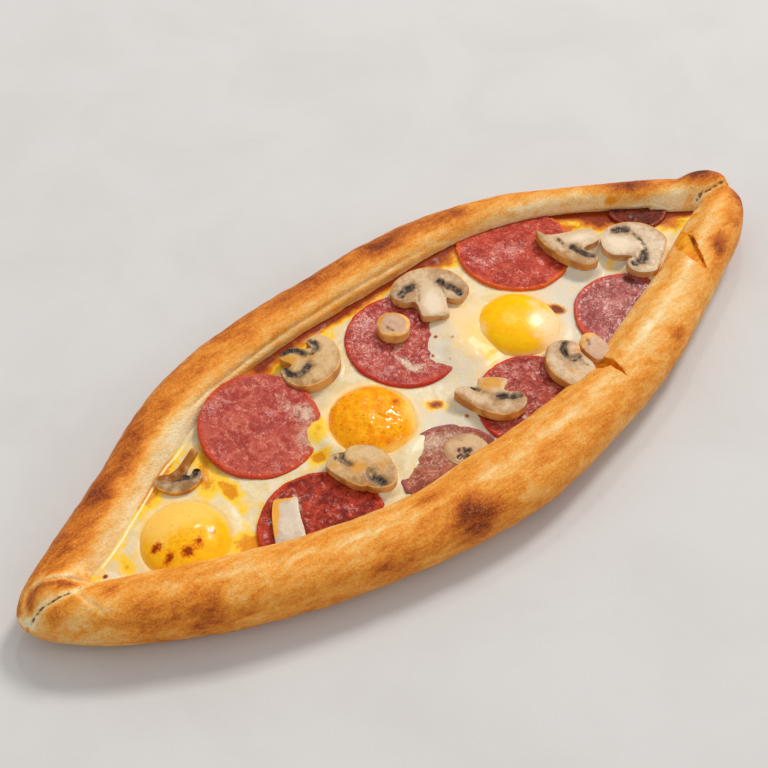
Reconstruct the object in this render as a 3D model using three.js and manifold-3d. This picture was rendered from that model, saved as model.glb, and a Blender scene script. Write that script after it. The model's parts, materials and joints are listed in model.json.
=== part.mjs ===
// Pide: a boat of baked dough whose edges are rolled up round a filling of melted cheese
// and egg white, with slices of cured sausage, pieces of mushroom and egg yolks lying in it.
// Millimetres, +Z up, +X along the boat, the flat underside on Z = 0.

import * as THREE from 'three';
import { mergeVertices } from 'three/addons/utils/BufferGeometryUtils.js';
import Module from 'manifold-3d';

// The boat as a whole
const LENGTH = 341.5;
const HALF_LENGTH = LENGTH / 2;
const FLOOR = 6;
const FILL_LEVEL = 14.5;
const GAP = 0.3;

// A rolled rim. With s = x / half length, its plan line is
// y = side * (tipOffset + (reach - tipOffset) * (1 - |s|^bow)^taper * (1 + lean * s)).
// Its section is a squarish round with a shallow fold along its inner shoulder, and it swells in places.
const NEAR_RIM = {
  side: -1, reach: 57.2, tipOffset: 3.5, bow: 1.96, taper: 1.14, lean: -0.033,
  width: 27.6, widthLean: 0, tipNarrowing: 0.16, height: 24, waveStart: 0.6,
  foldAngle: 128, foldDepth: 1.3,
  swells: [{ at: 2, spread: 24, wider: 1.2 }, { at: 44, spread: 10, wider: -0.8 }],
};
const FAR_RIM = {
  side: 1, reach: 53.8, tipOffset: 3, bow: 3.44, taper: 2.57, lean: 0.078,
  width: 23.2, widthLean: -0.3, tipNarrowing: 0.39, height: 23, waveStart: 2.1,
  foldAngle: 140, foldDepth: 1.1,
  swells: [{ at: 146, spread: 13, wider: 3.4 }, { at: 60, spread: 22, wider: 0.6 }],
};
const SECTION_POWER = 2.3;
const FOLD_SPREAD = 11;
const SEAM_WIDTH = 0.8;

// Hand-made dough is uneven: waves along the boat, each with its share and its length
const WAVE_SHARE = 0.035;
const WAVES = [
  { share: 0.5, length: 31, turns: 1 },
  { share: 0.3, length: 14.3, turns: 2.7 },
  { share: 0.2, length: 8.1, turns: 5.3 },
];

// The boat's line bends a little to the far side at its left tip and to the near side at its right tip
const LEFT_BEND = { start: 105, end: 165, shift: 2 };
const RIGHT_BEND = { start: 130, end: 172, shift: -4 };

// The blunt noses at the two tips
const NOSE_LENGTH = 30;
const NOSE_POWER = 2.2;
const NOSE_HEIGHT = 9;
const NOSE_CLOSE = 0.5;

// How finely the crust is divided
const STATIONS = 52;
const OUTER_LOW_STEPS = 3;
const OUTER_HIGH_STEPS = 6;
const INNER_STEPS = 10;

// Lobes of dough pinched over the tips: centre, half sizes and turn in plan
const TIP_LOBES = [
  { x: -155, y: 1.2, z: 15, sizes: [12, 7.4, 9], turn: 10 },
  { x: 155.5, y: 3.2, z: 13.4, sizes: [15, 8.2, 12.2], turn: -17 },
];
const LOBE_SEGMENTS = 18;
const LOBE_RINGS = 10;

// Two cuts across the near rim, from the mouth to the end, with the width at the mouth
const RIM_CUTS = [
  { from: [52.5, -38], to: [57, -52.5], width: 4.4, bottom: 15.5 },
  { from: [122.5, -9], to: [118, -37], width: 4, bottom: 18.5 },
];
const CUT_TOP = 40;
const CUT_END_WIDTH = 0.5;

// Cured sausage slices; tilt raises the far edge
const SLICE_THICKNESS = 2.2;
const SLICE_BOTTOM = 13.6;
const SLICE_TOP = SLICE_BOTTOM + SLICE_THICKNESS;
const SLICE_SIDES = 32;
const SLICE_ROUNDING = 0.5;
const SAUSAGE_SLICES = [
  { x: -62, y: 16, radius: 23, tilt: 7, lift: 1.6 },
  { x: 6.5, y: 15.8, radius: 23.5, tilt: 0, lift: 0 },
  { x: 73, y: 27, radius: 24.2, tilt: 0, lift: 0 },
  { x: 84, y: -28, radius: 21.6, tilt: 0, lift: 0 },
  { x: 25.5, y: -37.5, radius: 22.3, tilt: 0, lift: 0 },
  { x: -69.5, y: -33.5, radius: 23.5, tilt: 0, lift: 0 },
  { x: -18, y: -43, radius: 20.6, tilt: 0, lift: 0 },
  { x: 129, y: 13, radius: 13, tilt: 0, lift: 0 },
];

// Egg yolks: flattened domes standing in the filling
const YOLK_BOTTOM = 11.5;
const YOLK_SIDES = 24;
const YOLK_RINGS = 6;
const YOLK_POWER = 2.4;
const EGG_YOLKS = [
  { x: -110, y: -7.5, radius: 16.2, top: 20.5 },
  { x: -27.2, y: -6.6, radius: 15.8, top: 20 },
  { x: 46, y: -5, radius: 15.2, top: 20.5 },
];

// Lengthwise mushroom slices: a cap with curled edges, and a stem that points along turn
const ON_FILLING = FILL_LEVEL - 0.6;
const ON_SLICE = SLICE_TOP + GAP;
const MUSHROOM_SLICES = [
  { x: -98, y: 13, turn: 62, cap: 22, rise: 8, stem: 11, stemWidth: 9, thick: 4.5, bottom: ON_FILLING },
  { x: -33, y: 27, turn: 141, cap: 30, rise: 14, stem: 9, stemWidth: 10, thick: 5, bottom: ON_FILLING },
  { x: 29.5, y: 29, turn: 231, cap: 31, rise: 12, stem: 16, stemWidth: 12.5, thick: 4.2, bottom: ON_SLICE },
  { x: 87, y: 10.5, turn: 22, cap: 27, rise: 10, stem: 18, stemWidth: 12, thick: 4.6, bottom: ON_SLICE },
  { x: 112, y: -6.5, turn: 134, cap: 31, rise: 11.5, stem: 12, stemWidth: 12, thick: 4.2, bottom: ON_SLICE },
  { x: 12.5, y: -28, turn: 42, cap: 27, rise: 10.5, stem: 8, stemWidth: 10, thick: 5, bottom: ON_SLICE },
  { x: 47, y: -33.5, turn: -34, cap: 23, rise: 10, stem: 9, stemWidth: 7.5, thick: 4.5, bottom: ON_SLICE },
  { x: -7.5, y: -39.5, turn: 231, cap: 19, rise: 8, stem: 6, stemWidth: 7, thick: 1.6, bottom: ON_SLICE },
];
const CAP_CURL = 0.42;
const CURL_SHOULDER = 0.75;
const CURL_EDGE = 0.9;
const CAP_STEPS = 10;
const STEM_STEPS = 4;

// Other mushroom pieces: a round slice of stem, an oval slice, and two pieces of stem.
// length lies along turn, and squareness 2 is an ellipse, more is a rounded block.
const MUSHROOM_CHUNKS = [
  { x: 5.2, y: 22.2, turn: 0, length: 13.4, width: 13, squareness: 2, thick: 5, bottom: ON_SLICE },
  { x: -45.8, y: -24.6, turn: -50, length: 29, width: 20, squareness: 2.1, thick: 3.8, bottom: ON_SLICE },
  { x: -78.2, y: -24.8, turn: 63, length: 15, width: 11, squareness: 5, thick: 3.6, bottom: ON_SLICE },
  { x: 59.5, y: -33.2, turn: -80, length: 14, width: 9, squareness: 2.4, thick: 4.6, bottom: ON_SLICE },
];
const CHUNK_SIDES = 22;
const MUSHROOM_BEVEL = 0.5;

// The filling's surface: how it is divided and how far it swells
const FILLING_ENDS = [-141, 137];
const FILLING_STATIONS = 24;
const FILLING_STEPS = 6;
const FILLING_SWELL = 0.5;
const SWELL_SLANT = 2.3;
const SWELL_BREADTH = 19;

const FINISHES = {
  crust: { color: 0xd9a25c, roughness: 0.75, metalness: 0 },
  filling: { color: 0xf0e2b4, roughness: 0.4, metalness: 0 },
  yolk: { color: 0xf6b21a, roughness: 0.3, metalness: 0 },
  sausage: { color: 0xb04a42, roughness: 0.4, metalness: 0 },
  mushroom: { color: 0xc9ab7c, roughness: 0.6, metalness: 0 },
};

// Corners closer than this are one corner
const MERGE_DISTANCE = 1e-4;

const wasm = await Module();
wasm.setup();

const { clamp, smoothstep, degToRad, radToDeg } = THREE.MathUtils;

// A closed solid made from a geometry whose equal corners are joined
function solidOf(geometry) {
  const bare = geometry.clone();
  bare.deleteAttribute('normal');
  bare.deleteAttribute('uv');
  const merged = mergeVertices(bare, MERGE_DISTANCE);
  return new wasm.Manifold(new wasm.Mesh({
    numProp: 3,
    vertProperties: Float32Array.from(merged.attributes.position.array),
    triVerts: Uint32Array.from(merged.index.array),
  }));
}

// The largest body of a solid, as a geometry
function geometryOf(solid) {
  const bodies = solid.decompose();
  const largest = bodies.reduce((best, body) => (body.volume() > best.volume() ? body : best));
  const mesh = largest.getMesh();
  const geometry = new THREE.BufferGeometry();
  geometry.setAttribute('position', new THREE.BufferAttribute(Float32Array.from(mesh.vertProperties), 3));
  geometry.setIndex(new THREE.BufferAttribute(Uint32Array.from(mesh.triVerts), 1));
  geometry.computeVertexNormals();
  return geometry;
}

// A closed geometry through rings of equal count along +X, its two ends closed to a point
function loftGeometry(rings, firstPoint, lastPoint) {
  const count = rings[0].length;
  const corners = [...rings.flat(), firstPoint, lastPoint];
  const triangles = [];
  for (let ring = 0; ring + 1 < rings.length; ring += 1) {
    for (let step = 0; step < count; step += 1) {
      const a = ring * count + step;
      const b = ring * count + ((step + 1) % count);
      triangles.push(a, b, a + count, b, b + count, a + count);
    }
  }
  const first = rings.length * count;
  const lastRing = (rings.length - 1) * count;
  for (let step = 0; step < count; step += 1) {
    const next = (step + 1) % count;
    triangles.push(first, next, step);
    triangles.push(first + 1, lastRing + step, lastRing + next);
  }
  const geometry = new THREE.BufferGeometry();
  const positions = corners.flatMap((corner) => corner.toArray());
  geometry.setAttribute('position', new THREE.Float32BufferAttribute(positions, 3));
  geometry.setIndex(triangles);
  return geometry;
}

// A power that keeps the sign, for squarish rounds
function signedPower(value, power) {
  return Math.sign(value) * Math.pow(Math.abs(value), power);
}

// A smooth bump of height 1 round a place
function bump(x, at, spread) {
  return Math.exp(-Math.pow((x - at) / spread, 2));
}

// A gentle unevenness along the boat, between -1 and 1
function unevenness(x, start) {
  return WAVES.reduce((sum, { share, length, turns }) => (
    sum + share * Math.sin(x / length + turns * start)
  ), 0);
}

// Where the middle of the boat lies in y
function bend(x) {
  const left = LEFT_BEND.shift * smoothstep(-x, LEFT_BEND.start, LEFT_BEND.end);
  const right = RIGHT_BEND.shift * smoothstep(x, RIGHT_BEND.start, RIGHT_BEND.end);
  return left + right;
}

// A rim's centre line, half width and height at x
function rimAt(rim, x, grow) {
  const s = clamp(x / HALF_LENGTH, -1, 1);
  const bow = Math.pow(1 - Math.pow(Math.abs(s), rim.bow), rim.taper) * (1 + rim.lean * s);
  const wave = WAVE_SHARE * unevenness(x, rim.waveStart);
  const narrowing = 1 - rim.tipNarrowing * Math.pow(s, 4);
  const swell = rim.swells.reduce((sum, { at, spread, wider }) => sum + wider * bump(x, at, spread), 0);
  return {
    centre: bend(x) + rim.side * (rim.tipOffset + (rim.reach - rim.tipOffset) * bow),
    half: (rim.width / 2) * (1 + rim.widthLean * s + wave) * narrowing + swell + grow,
    height: rim.height * (1 + wave) + grow,
  };
}

// How much of the full section is left at x: 1 along the boat, closing round at the noses
function noseScale(x) {
  const share = clamp((Math.abs(x) - HALF_LENGTH + NOSE_LENGTH) / NOSE_LENGTH, 0, 1);
  return Math.pow(1 - Math.pow(share, NOSE_POWER), 1 / NOSE_POWER);
}

// A point of a rim's section: 0 degrees is its outer side, 90 its top, 180 its inner side
function sectionPoint(rim, place, angle) {
  const power = 2 / SECTION_POWER;
  const shrink = 1 - (rim.foldDepth * bump(angle, rim.foldAngle, FOLD_SPREAD)) / place.half;
  const outward = place.half * shrink * signedPower(Math.cos(degToRad(angle)), power);
  const up = (place.height / 2) * (1 + shrink * signedPower(Math.sin(degToRad(angle)), power));
  return [place.centre + rim.side * outward, up];
}

// The angle where a rim's inner side ends: on the floor of the trough, or in the seam of a tip
function innerEnd(place, seam, floor) {
  const toSeam = Math.abs(place.centre - seam) - SEAM_WIDTH / 2;
  const power = SECTION_POWER / 2;
  if (toSeam < place.half) return 180 - radToDeg(Math.acos(Math.pow(toSeam / place.half, power)));
  return 180 + radToDeg(Math.asin(Math.pow(1 - (2 * floor) / place.height, power)));
}

// One rim's part of the crust section, from the underside round to the floor of the trough
function rimProfile(rim, place, seam, floor) {
  const points = [[place.centre, 0]];
  for (let step = 1; step <= OUTER_LOW_STEPS; step += 1) {
    points.push(sectionPoint(rim, place, -90 + (90 * step) / OUTER_LOW_STEPS));
  }
  for (let step = 1; step <= OUTER_HIGH_STEPS; step += 1) {
    points.push(sectionPoint(rim, place, (90 * step) / OUTER_HIGH_STEPS));
  }
  const end = innerEnd(place, seam, floor);
  for (let step = 1; step <= INNER_STEPS; step += 1) {
    points.push(sectionPoint(rim, place, 90 + ((end - 90) * step) / INNER_STEPS));
  }
  return points;
}

// The whole crust section at x, one ring of the loft
function crustRing(x, grow) {
  const near = rimAt(NEAR_RIM, x, grow);
  const far = rimAt(FAR_RIM, x, grow);
  const seam = (near.centre * far.half + far.centre * near.half) / (near.half + far.half);
  const farSide = rimProfile(FAR_RIM, far, seam, FLOOR + grow);
  const nearSide = rimProfile(NEAR_RIM, near, seam, FLOOR + grow).reverse();
  const seamHeight = (farSide.at(-1)[1] + nearSide[0][1]) / 2;
  const outline = [[seam, 0], ...farSide, [seam, seamHeight], ...nearSide];
  const scale = noseScale(x);
  return outline.map(([y, z]) => new THREE.Vector3(
    x,
    seam + (y - seam) * scale,
    NOSE_HEIGHT + (z - NOSE_HEIGHT) * scale,
  ));
}

// The lofted crust without lobes or cuts, its walls moved outwards by grow
function crustLoft(grow) {
  const reach = HALF_LENGTH - NOSE_CLOSE;
  const rings = [];
  for (let station = 0; station <= STATIONS; station += 1) {
    const turn = (Math.PI / 2) * ((2 * station) / STATIONS - 1);
    rings.push(crustRing(reach * Math.sin(turn), grow));
  }
  const tip = (x) => new THREE.Vector3(x, bend(x), NOSE_HEIGHT);
  return solidOf(loftGeometry(rings, tip(-HALF_LENGTH), tip(HALF_LENGTH)));
}

// A lobe of dough pinched over a tip
function tipLobe({ x, y, z, sizes, turn }, grow) {
  const geometry = new THREE.SphereGeometry(1, LOBE_SEGMENTS, LOBE_RINGS);
  geometry.scale(...sizes.map((size) => size + grow));
  geometry.rotateZ(degToRad(turn));
  geometry.translate(x, y, z);
  return solidOf(geometry);
}

// A wedge that cuts across a rim, wide at its mouth and narrow at its end
function rimCut({ from, to, width, bottom }) {
  const along = new THREE.Vector2(to[0] - from[0], to[1] - from[1]);
  const wedge = new THREE.Shape();
  wedge.moveTo(0, -width / 2);
  wedge.lineTo(along.length(), -CUT_END_WIDTH / 2);
  wedge.lineTo(along.length(), CUT_END_WIDTH / 2);
  wedge.lineTo(0, width / 2);
  const geometry = new THREE.ExtrudeGeometry(wedge, { depth: CUT_TOP - bottom, bevelEnabled: false });
  geometry.rotateZ(along.angle());
  geometry.translate(from[0], from[1], bottom);
  return solidOf(geometry);
}

// The whole crust with its lobes, its walls moved outwards by grow
function crustSolid(grow) {
  return TIP_LOBES.reduce((crust, lobe) => crust.add(tipLobe(lobe, grow)), crustLoft(grow));
}

// A slice of sausage, a flat round with softened edges
function sliceSolid({ x, y, radius, tilt, lift }, grow) {
  const wide = radius + grow;
  const high = SLICE_THICKNESS + grow;
  const outline = [
    [0, -grow], [wide - SLICE_ROUNDING, -grow], [wide, SLICE_ROUNDING - grow],
    [wide, high - SLICE_ROUNDING], [wide - SLICE_ROUNDING, high], [0, high],
  ].map(([across, up]) => new THREE.Vector2(across, up));
  const geometry = new THREE.LatheGeometry(outline, SLICE_SIDES);
  geometry.rotateX(Math.PI / 2 + degToRad(tilt));
  geometry.translate(x, y, SLICE_BOTTOM + lift);
  return solidOf(geometry);
}

// An egg yolk, a flattened dome with a flat underside
function yolkSolid({ x, y, radius, top }, grow) {
  const power = 2 / YOLK_POWER;
  const outline = [new THREE.Vector2(0, -grow), new THREE.Vector2(radius + grow, -grow)];
  for (let ring = 1; ring < YOLK_RINGS; ring += 1) {
    const turn = (Math.PI / 2) * (ring / YOLK_RINGS);
    const across = (radius + grow) * Math.pow(Math.cos(turn), power);
    outline.push(new THREE.Vector2(across, (top - YOLK_BOTTOM + grow) * Math.pow(Math.sin(turn), power)));
  }
  outline.push(new THREE.Vector2(0, top - YOLK_BOTTOM + grow));
  const geometry = new THREE.LatheGeometry(outline, YOLK_SIDES);
  geometry.rotateX(Math.PI / 2);
  geometry.translate(x, y, YOLK_BOTTOM);
  return solidOf(geometry);
}

// The outline of a lengthwise mushroom slice, its stem along +X and its cap behind the origin
function mushroomOutline({ cap, rise, stem, stemWidth }, grow) {
  const halfCap = cap / 2 + grow;
  const halfStem = stemWidth / 2 + grow;
  const curl = rise * CAP_CURL + grow;
  const armpit = 2 * grow;
  const points = [];
  for (let step = 0; step <= CAP_STEPS; step += 1) {
    const turn = Math.PI / 2 + (Math.PI * step) / CAP_STEPS;
    points.push([(rise + grow) * Math.cos(turn), halfCap * Math.sin(turn)]);
  }
  const curledEdge = [
    [curl * CURL_SHOULDER, halfCap * CURL_EDGE],
    [curl, (halfCap + halfStem) / 2],
    [armpit, halfStem],
  ];
  points.push(...curledEdge.map(([across, along]) => [across, -along]));
  for (let step = 0; step <= STEM_STEPS; step += 1) {
    const turn = -Math.PI / 2 + (Math.PI * step) / STEM_STEPS;
    points.push([stem + grow + Math.cos(turn), halfStem * Math.sin(turn)]);
  }
  points.push(...curledEdge.reverse());
  return points.map(([across, along]) => new THREE.Vector2(across, along));
}

// The outline of a mushroom chunk, an ellipse or a rounded block
function chunkOutline({ length, width, squareness }, grow) {
  const points = [];
  for (let step = 0; step < CHUNK_SIDES; step += 1) {
    const turn = (2 * Math.PI * step) / CHUNK_SIDES;
    points.push(new THREE.Vector2(
      (length / 2 + grow) * signedPower(Math.cos(turn), 2 / squareness),
      (width / 2 + grow) * signedPower(Math.sin(turn), 2 / squareness),
    ));
  }
  return points;
}

// A mushroom piece: its outline made thick, with softened edges, turned and set down
function mushroomSolid(piece, grow) {
  const outline = piece.cap ? mushroomOutline(piece, grow) : chunkOutline(piece, grow);
  const geometry = new THREE.ExtrudeGeometry(new THREE.Shape(outline), {
    depth: piece.thick + 2 * grow - 2 * MUSHROOM_BEVEL,
    bevelSize: MUSHROOM_BEVEL,
    bevelOffset: -MUSHROOM_BEVEL,
    bevelThickness: MUSHROOM_BEVEL,
    bevelSegments: 1,
    steps: 1,
  });
  geometry.rotateZ(degToRad(piece.turn));
  geometry.translate(piece.x, piece.y, piece.bottom + MUSHROOM_BEVEL - grow);
  return solidOf(geometry);
}

// The filling before anything is cut from it: a slab with a gently swelling top
function fillingSlab() {
  const [left, right] = FILLING_ENDS;
  const rings = [];
  for (let station = 0; station <= FILLING_STATIONS; station += 1) {
    const x = left + ((right - left) * station) / FILLING_STATIONS;
    const near = rimAt(NEAR_RIM, x, 0).centre;
    const far = rimAt(FAR_RIM, x, 0).centre;
    const ring = [new THREE.Vector3(x, near, FLOOR / 2), new THREE.Vector3(x, far, FLOOR / 2)];
    for (let step = 0; step <= FILLING_STEPS; step += 1) {
      const y = far + ((near - far) * step) / FILLING_STEPS;
      const swell = FILLING_SWELL * unevenness(x + SWELL_SLANT * y, 0) * Math.cos(y / SWELL_BREADTH);
      ring.push(new THREE.Vector3(x, y, FILL_LEVEL + swell));
    }
    rings.push(ring);
  }
  const end = (x) => new THREE.Vector3(x, bend(x), (FLOOR + FILL_LEVEL) / 2);
  return solidOf(loftGeometry(rings, end(left), end(right)));
}

// The toppings, those that lie lower first: each is cut clear of the crust and of those below it
const toppings = [
  ...EGG_YOLKS.map((sizes, index) => (
    { name: `egg_yolk_${index + 1}`, make: yolkSolid, sizes, finish: 'yolk' }
  )),
  ...SAUSAGE_SLICES.map((sizes, index) => (
    { name: `sausage_slice_${index + 1}`, make: sliceSolid, sizes, finish: 'sausage' }
  )),
  ...[...MUSHROOM_SLICES, ...MUSHROOM_CHUNKS].map((sizes, index) => (
    { name: `mushroom_piece_${index + 1}`, make: mushroomSolid, sizes, finish: 'mushroom' }
  )),
];

// A named piece of the pide
function namedPiece(name, solid, finish) {
  const mesh = new THREE.Mesh(geometryOf(solid), new THREE.MeshStandardMaterial(FINISHES[finish]));
  mesh.name = name;
  return mesh;
}

const pide = new THREE.Group();
const crust = RIM_CUTS.reduce((whole, cut) => whole.subtract(rimCut(cut)), crustSolid(0));
pide.add(namedPiece('crust', crust, 'crust'));

let taken = crustSolid(GAP).add(crust);
let filling = fillingSlab().subtract(taken);
for (const { name, make, sizes, finish } of toppings) {
  pide.add(namedPiece(name, make(sizes, 0).subtract(taken), finish));
  const clearance = make(sizes, GAP);
  taken = taken.add(clearance);
  filling = filling.subtract(clearance);
}
pide.add(namedPiece('filling', filling, 'filling'));

// The origin is at the middle of the boat's box, on its underside
const box = new THREE.Box3().setFromObject(pide);
const middle = box.getCenter(new THREE.Vector3());
pide.position.set(-middle.x, -middle.y, -box.min.z);

export default pide;
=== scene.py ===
"""Dress a baked pide: rolled golden crust, melted filling, cured sausage, mushroom and egg."""

from __future__ import annotations

import json
import logging
import math
from dataclasses import dataclass
from enum import Enum
from typing import Any, Sequence

import bpy
import numpy as np
from mathutils import Matrix, Vector
from mathutils.bvhtree import BVHTree

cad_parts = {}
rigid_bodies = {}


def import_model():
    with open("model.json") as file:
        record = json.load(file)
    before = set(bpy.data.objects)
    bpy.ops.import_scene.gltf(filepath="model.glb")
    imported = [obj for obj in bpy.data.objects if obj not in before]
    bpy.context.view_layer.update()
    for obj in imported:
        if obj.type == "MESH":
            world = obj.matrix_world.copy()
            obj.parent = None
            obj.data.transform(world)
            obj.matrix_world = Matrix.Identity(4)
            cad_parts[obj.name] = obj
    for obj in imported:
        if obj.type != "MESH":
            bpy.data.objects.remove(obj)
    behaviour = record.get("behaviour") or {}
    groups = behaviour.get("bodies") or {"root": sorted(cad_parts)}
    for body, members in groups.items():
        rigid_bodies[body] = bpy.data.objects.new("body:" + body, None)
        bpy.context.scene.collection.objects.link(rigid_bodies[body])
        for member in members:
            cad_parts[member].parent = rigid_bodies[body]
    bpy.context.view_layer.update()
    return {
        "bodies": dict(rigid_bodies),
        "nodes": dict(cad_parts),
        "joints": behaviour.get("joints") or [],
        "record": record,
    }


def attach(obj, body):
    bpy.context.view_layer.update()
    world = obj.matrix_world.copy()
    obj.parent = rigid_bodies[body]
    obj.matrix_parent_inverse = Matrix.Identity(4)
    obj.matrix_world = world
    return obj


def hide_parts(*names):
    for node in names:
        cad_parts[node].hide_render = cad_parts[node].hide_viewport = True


LOG = logging.getLogger("pide")

MM = 0.001
BODY = "root"

# The boat's own frame lies this far from the frame that its sizes are given in, in millimetres
SHIFT_Y = 3.42
HALF_LENGTH = 170.75
# Toppings have their own axes, which run right and away as the camera sees them
VIEW_TURN = math.radians(-38.45)

Colour = tuple[float, float, float, float]


class Slot(Enum):
    """The record's material slots."""

    CRUST = "crust"
    FILLING = "filling"
    YOLK = "yolk"
    SAUSAGE = "sausage"
    MUSHROOM = "mushroom"


class Layer(Enum):
    """What is painted on a piece's points, read by its material."""

    TOAST = "toast"
    STAIN = "stain"
    CUT = "cut"
    CRACK = "crack"
    WHITE = "white"
    PEACH = "peach"
    GLINT = "painted_glint"
    SCORCH = "scorch"
    OIL = "oil"
    FILM = "film"
    EDGE = "edge"
    GILL = "gill"
    STRAND = "strand"
    SKIN = "skin"


def tone(red: float, green: float, blue: float) -> Colour:
    """Turn a colour's usual values into linear light.

    Args:
        red: Red, 0 to 255.
        green: Green, 0 to 255.
        blue: Blue, 0 to 255.

    Returns:
        The colour as a shader socket takes it.
    """
    linear = [((v / 255 + 0.055) / 1.055) ** 2.4 if v > 10 else v / 255 / 12.92 for v in (red, green, blue)]
    return linear[0], linear[1], linear[2], 1.0


def smooth(values: np.ndarray, low: float, high: float) -> np.ndarray:
    """Rise smoothly from 0 at low to 1 at high.

    Args:
        values: Any numbers.
        low: Where the rise starts.
        high: Where it ends, which may be below low.

    Returns:
        A share from 0 to 1 for each number.
    """
    share = np.clip((values - low) / (high - low), 0.0, 1.0)
    return share * share * (3 - 2 * share)


def hump(values: np.ndarray, middle: float, width: float) -> np.ndarray:
    """Give 1 at the middle and fade to 0 about two widths away on both sides."""
    return np.exp(-(((values - middle) / width) ** 2))


def cloud(points: np.ndarray, size: float, seed: int = 0, octaves: int = 3) -> np.ndarray:
    """Give soft unevenness in space, the same on every run.

    Args:
        points: Places in millimetres, one row each.
        size: Width of the largest lumps, in millimetres.
        seed: Picks another pattern.
        octaves: How many finer patterns are laid over the first.

    Returns:
        A value from -1 to 1 for each place.
    """
    primes = np.array([374761393, 668265263, 1440662683], np.int64)
    total = np.zeros(len(points))
    reach = 0.0
    share = 1.0
    place = points / size + seed * 17.31
    for _ in range(octaves):
        cell = np.floor(place).astype(np.int64)
        inside = place - cell
        fade = inside ** 3 * (inside * (inside * 6 - 15) + 10)
        for corner in range(8):
            step = np.array([corner & 1, corner >> 1 & 1, corner >> 2 & 1])
            key = (cell + step) @ primes
            key = (key ^ (key >> 13)) * 1274126177
            key = key ^ (key >> 16)
            weight = np.prod(np.where(step, fade, 1 - fade), axis=1)
            total += share * weight * ((key & 0xFFFF) / 32767.5 - 1)
        reach += share
        share *= 0.5
        place = place * 2.03 + 5.7
    return total / reach


def seen_from(points: np.ndarray, x: float, y: float) -> np.ndarray:
    """Give places in plan as seen from the camera's side.

    Args:
        points: Places in millimetres of the part's frame, one row each.
        x: The middle that they are measured from.
        y: The same, in the other direction.

    Returns:
        How far right and how far away of that middle each place lies, one row each.
    """
    cosine, sine = math.cos(VIEW_TURN), math.sin(VIEW_TURN)
    east, north = points[:, 0] - x, points[:, 1] - y
    return np.column_stack([east * cosine + north * sine, north * cosine - east * sine])


def take(piece: bpy.types.Object) -> None:
    """Make one object the only selected one, and active.

    Args:
        piece: The object to work on.
    """
    bpy.ops.object.select_all(action="DESELECT")
    piece.select_set(True)
    bpy.context.view_layer.objects.active = piece


def finish_with(piece: bpy.types.Object, kind: str, **settings: Any) -> None:
    """Add a modifier to a piece and apply it.

    Args:
        piece: The object to change.
        kind: The modifier's type.
        **settings: The modifier's own settings.
    """
    take(piece)
    modifier = piece.modifiers.new(kind.title(), kind)
    for name, value in settings.items():
        setattr(modifier, name, value)
    bpy.ops.object.modifier_apply(modifier=modifier.name)


def points_of(piece: bpy.types.Object) -> np.ndarray:
    """Read a piece's points in millimetres, one row each."""
    flat = np.empty(len(piece.data.vertices) * 3, np.float32)
    piece.data.vertices.foreach_get("co", flat)
    return flat.reshape(-1, 3).astype(float) / MM


def normals_of(piece: bpy.types.Object) -> np.ndarray:
    """Read the outward direction at each of a piece's points."""
    flat = np.empty(len(piece.data.vertices) * 3, np.float32)
    piece.data.vertex_normals.foreach_get("vector", flat)
    return flat.reshape(-1, 3).astype(float)


def move_points(piece: bpy.types.Object, points: np.ndarray) -> None:
    """Put a piece's points elsewhere.

    Args:
        piece: The object to change.
        points: Their new places in millimetres, one row each.
    """
    piece.data.vertices.foreach_set("co", (points * MM).astype(np.float32).ravel())
    piece.data.update()


def paint(piece: bpy.types.Object, layer: Layer, values: np.ndarray) -> None:
    """Store one value for each point, for the material to read.

    Args:
        piece: The object to paint.
        layer: What the values mean.
        values: One value for each point.
    """
    attribute = piece.data.attributes.new(layer.value, "FLOAT", "POINT")
    attribute.data.foreach_set("value", values.astype(np.float32))


def copy_of_node(frame: dict[str, Any], node: str, name: str) -> bpy.types.Object:
    """Copy a solid's mesh into a new piece and join its loose triangles.

    Args:
        frame: The loaded frame.
        node: The solid's name.
        name: The new piece's name.

    Returns:
        The new piece, at the origin.
    """
    piece = bpy.data.objects.new(name, frame["nodes"][node].data.copy())
    piece.data.name = name
    piece.data.materials.clear()
    bpy.context.scene.collection.objects.link(piece)
    take(piece)
    bpy.ops.object.mode_set(mode="EDIT")
    bpy.ops.mesh.select_all(action="SELECT")
    bpy.ops.mesh.remove_doubles(threshold=0.01 * MM)
    bpy.ops.object.mode_set(mode="OBJECT")
    return piece


def slab(
    name: str, outline: np.ndarray, bottom: np.ndarray | float, thick: float, voxel: float
) -> bpy.types.Object:
    """Cut a flat round to an outline and make it thick.

    Args:
        name: The new piece's name.
        outline: The outline's corners in plan, in order, in millimetres.
        bottom: The height of its underside, for all corners or for each.
        thick: Its thickness.
        voxel: The width of its faces.

    Returns:
        The closed piece, with even faces.
    """
    bpy.ops.object.select_all(action="DESELECT")
    bpy.ops.mesh.primitive_circle_add(vertices=len(outline), radius=1.0, fill_type="NGON")
    piece = bpy.context.object
    piece.name = name
    move_points(piece, np.column_stack([outline, np.broadcast_to(bottom, len(outline))]))
    bpy.ops.object.mode_set(mode="EDIT")
    bpy.ops.mesh.select_all(action="SELECT")
    bpy.ops.mesh.quads_convert_to_tris()
    bpy.ops.mesh.extrude_region_move(TRANSFORM_OT_translate={"value": (0, 0, thick * MM)})
    bpy.ops.mesh.select_all(action="SELECT")
    bpy.ops.mesh.normals_make_consistent(inside=False)
    bpy.ops.object.mode_set(mode="OBJECT")
    finish_with(piece, "REMESH", mode="VOXEL", voxel_size=voxel * MM)
    return piece


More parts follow.
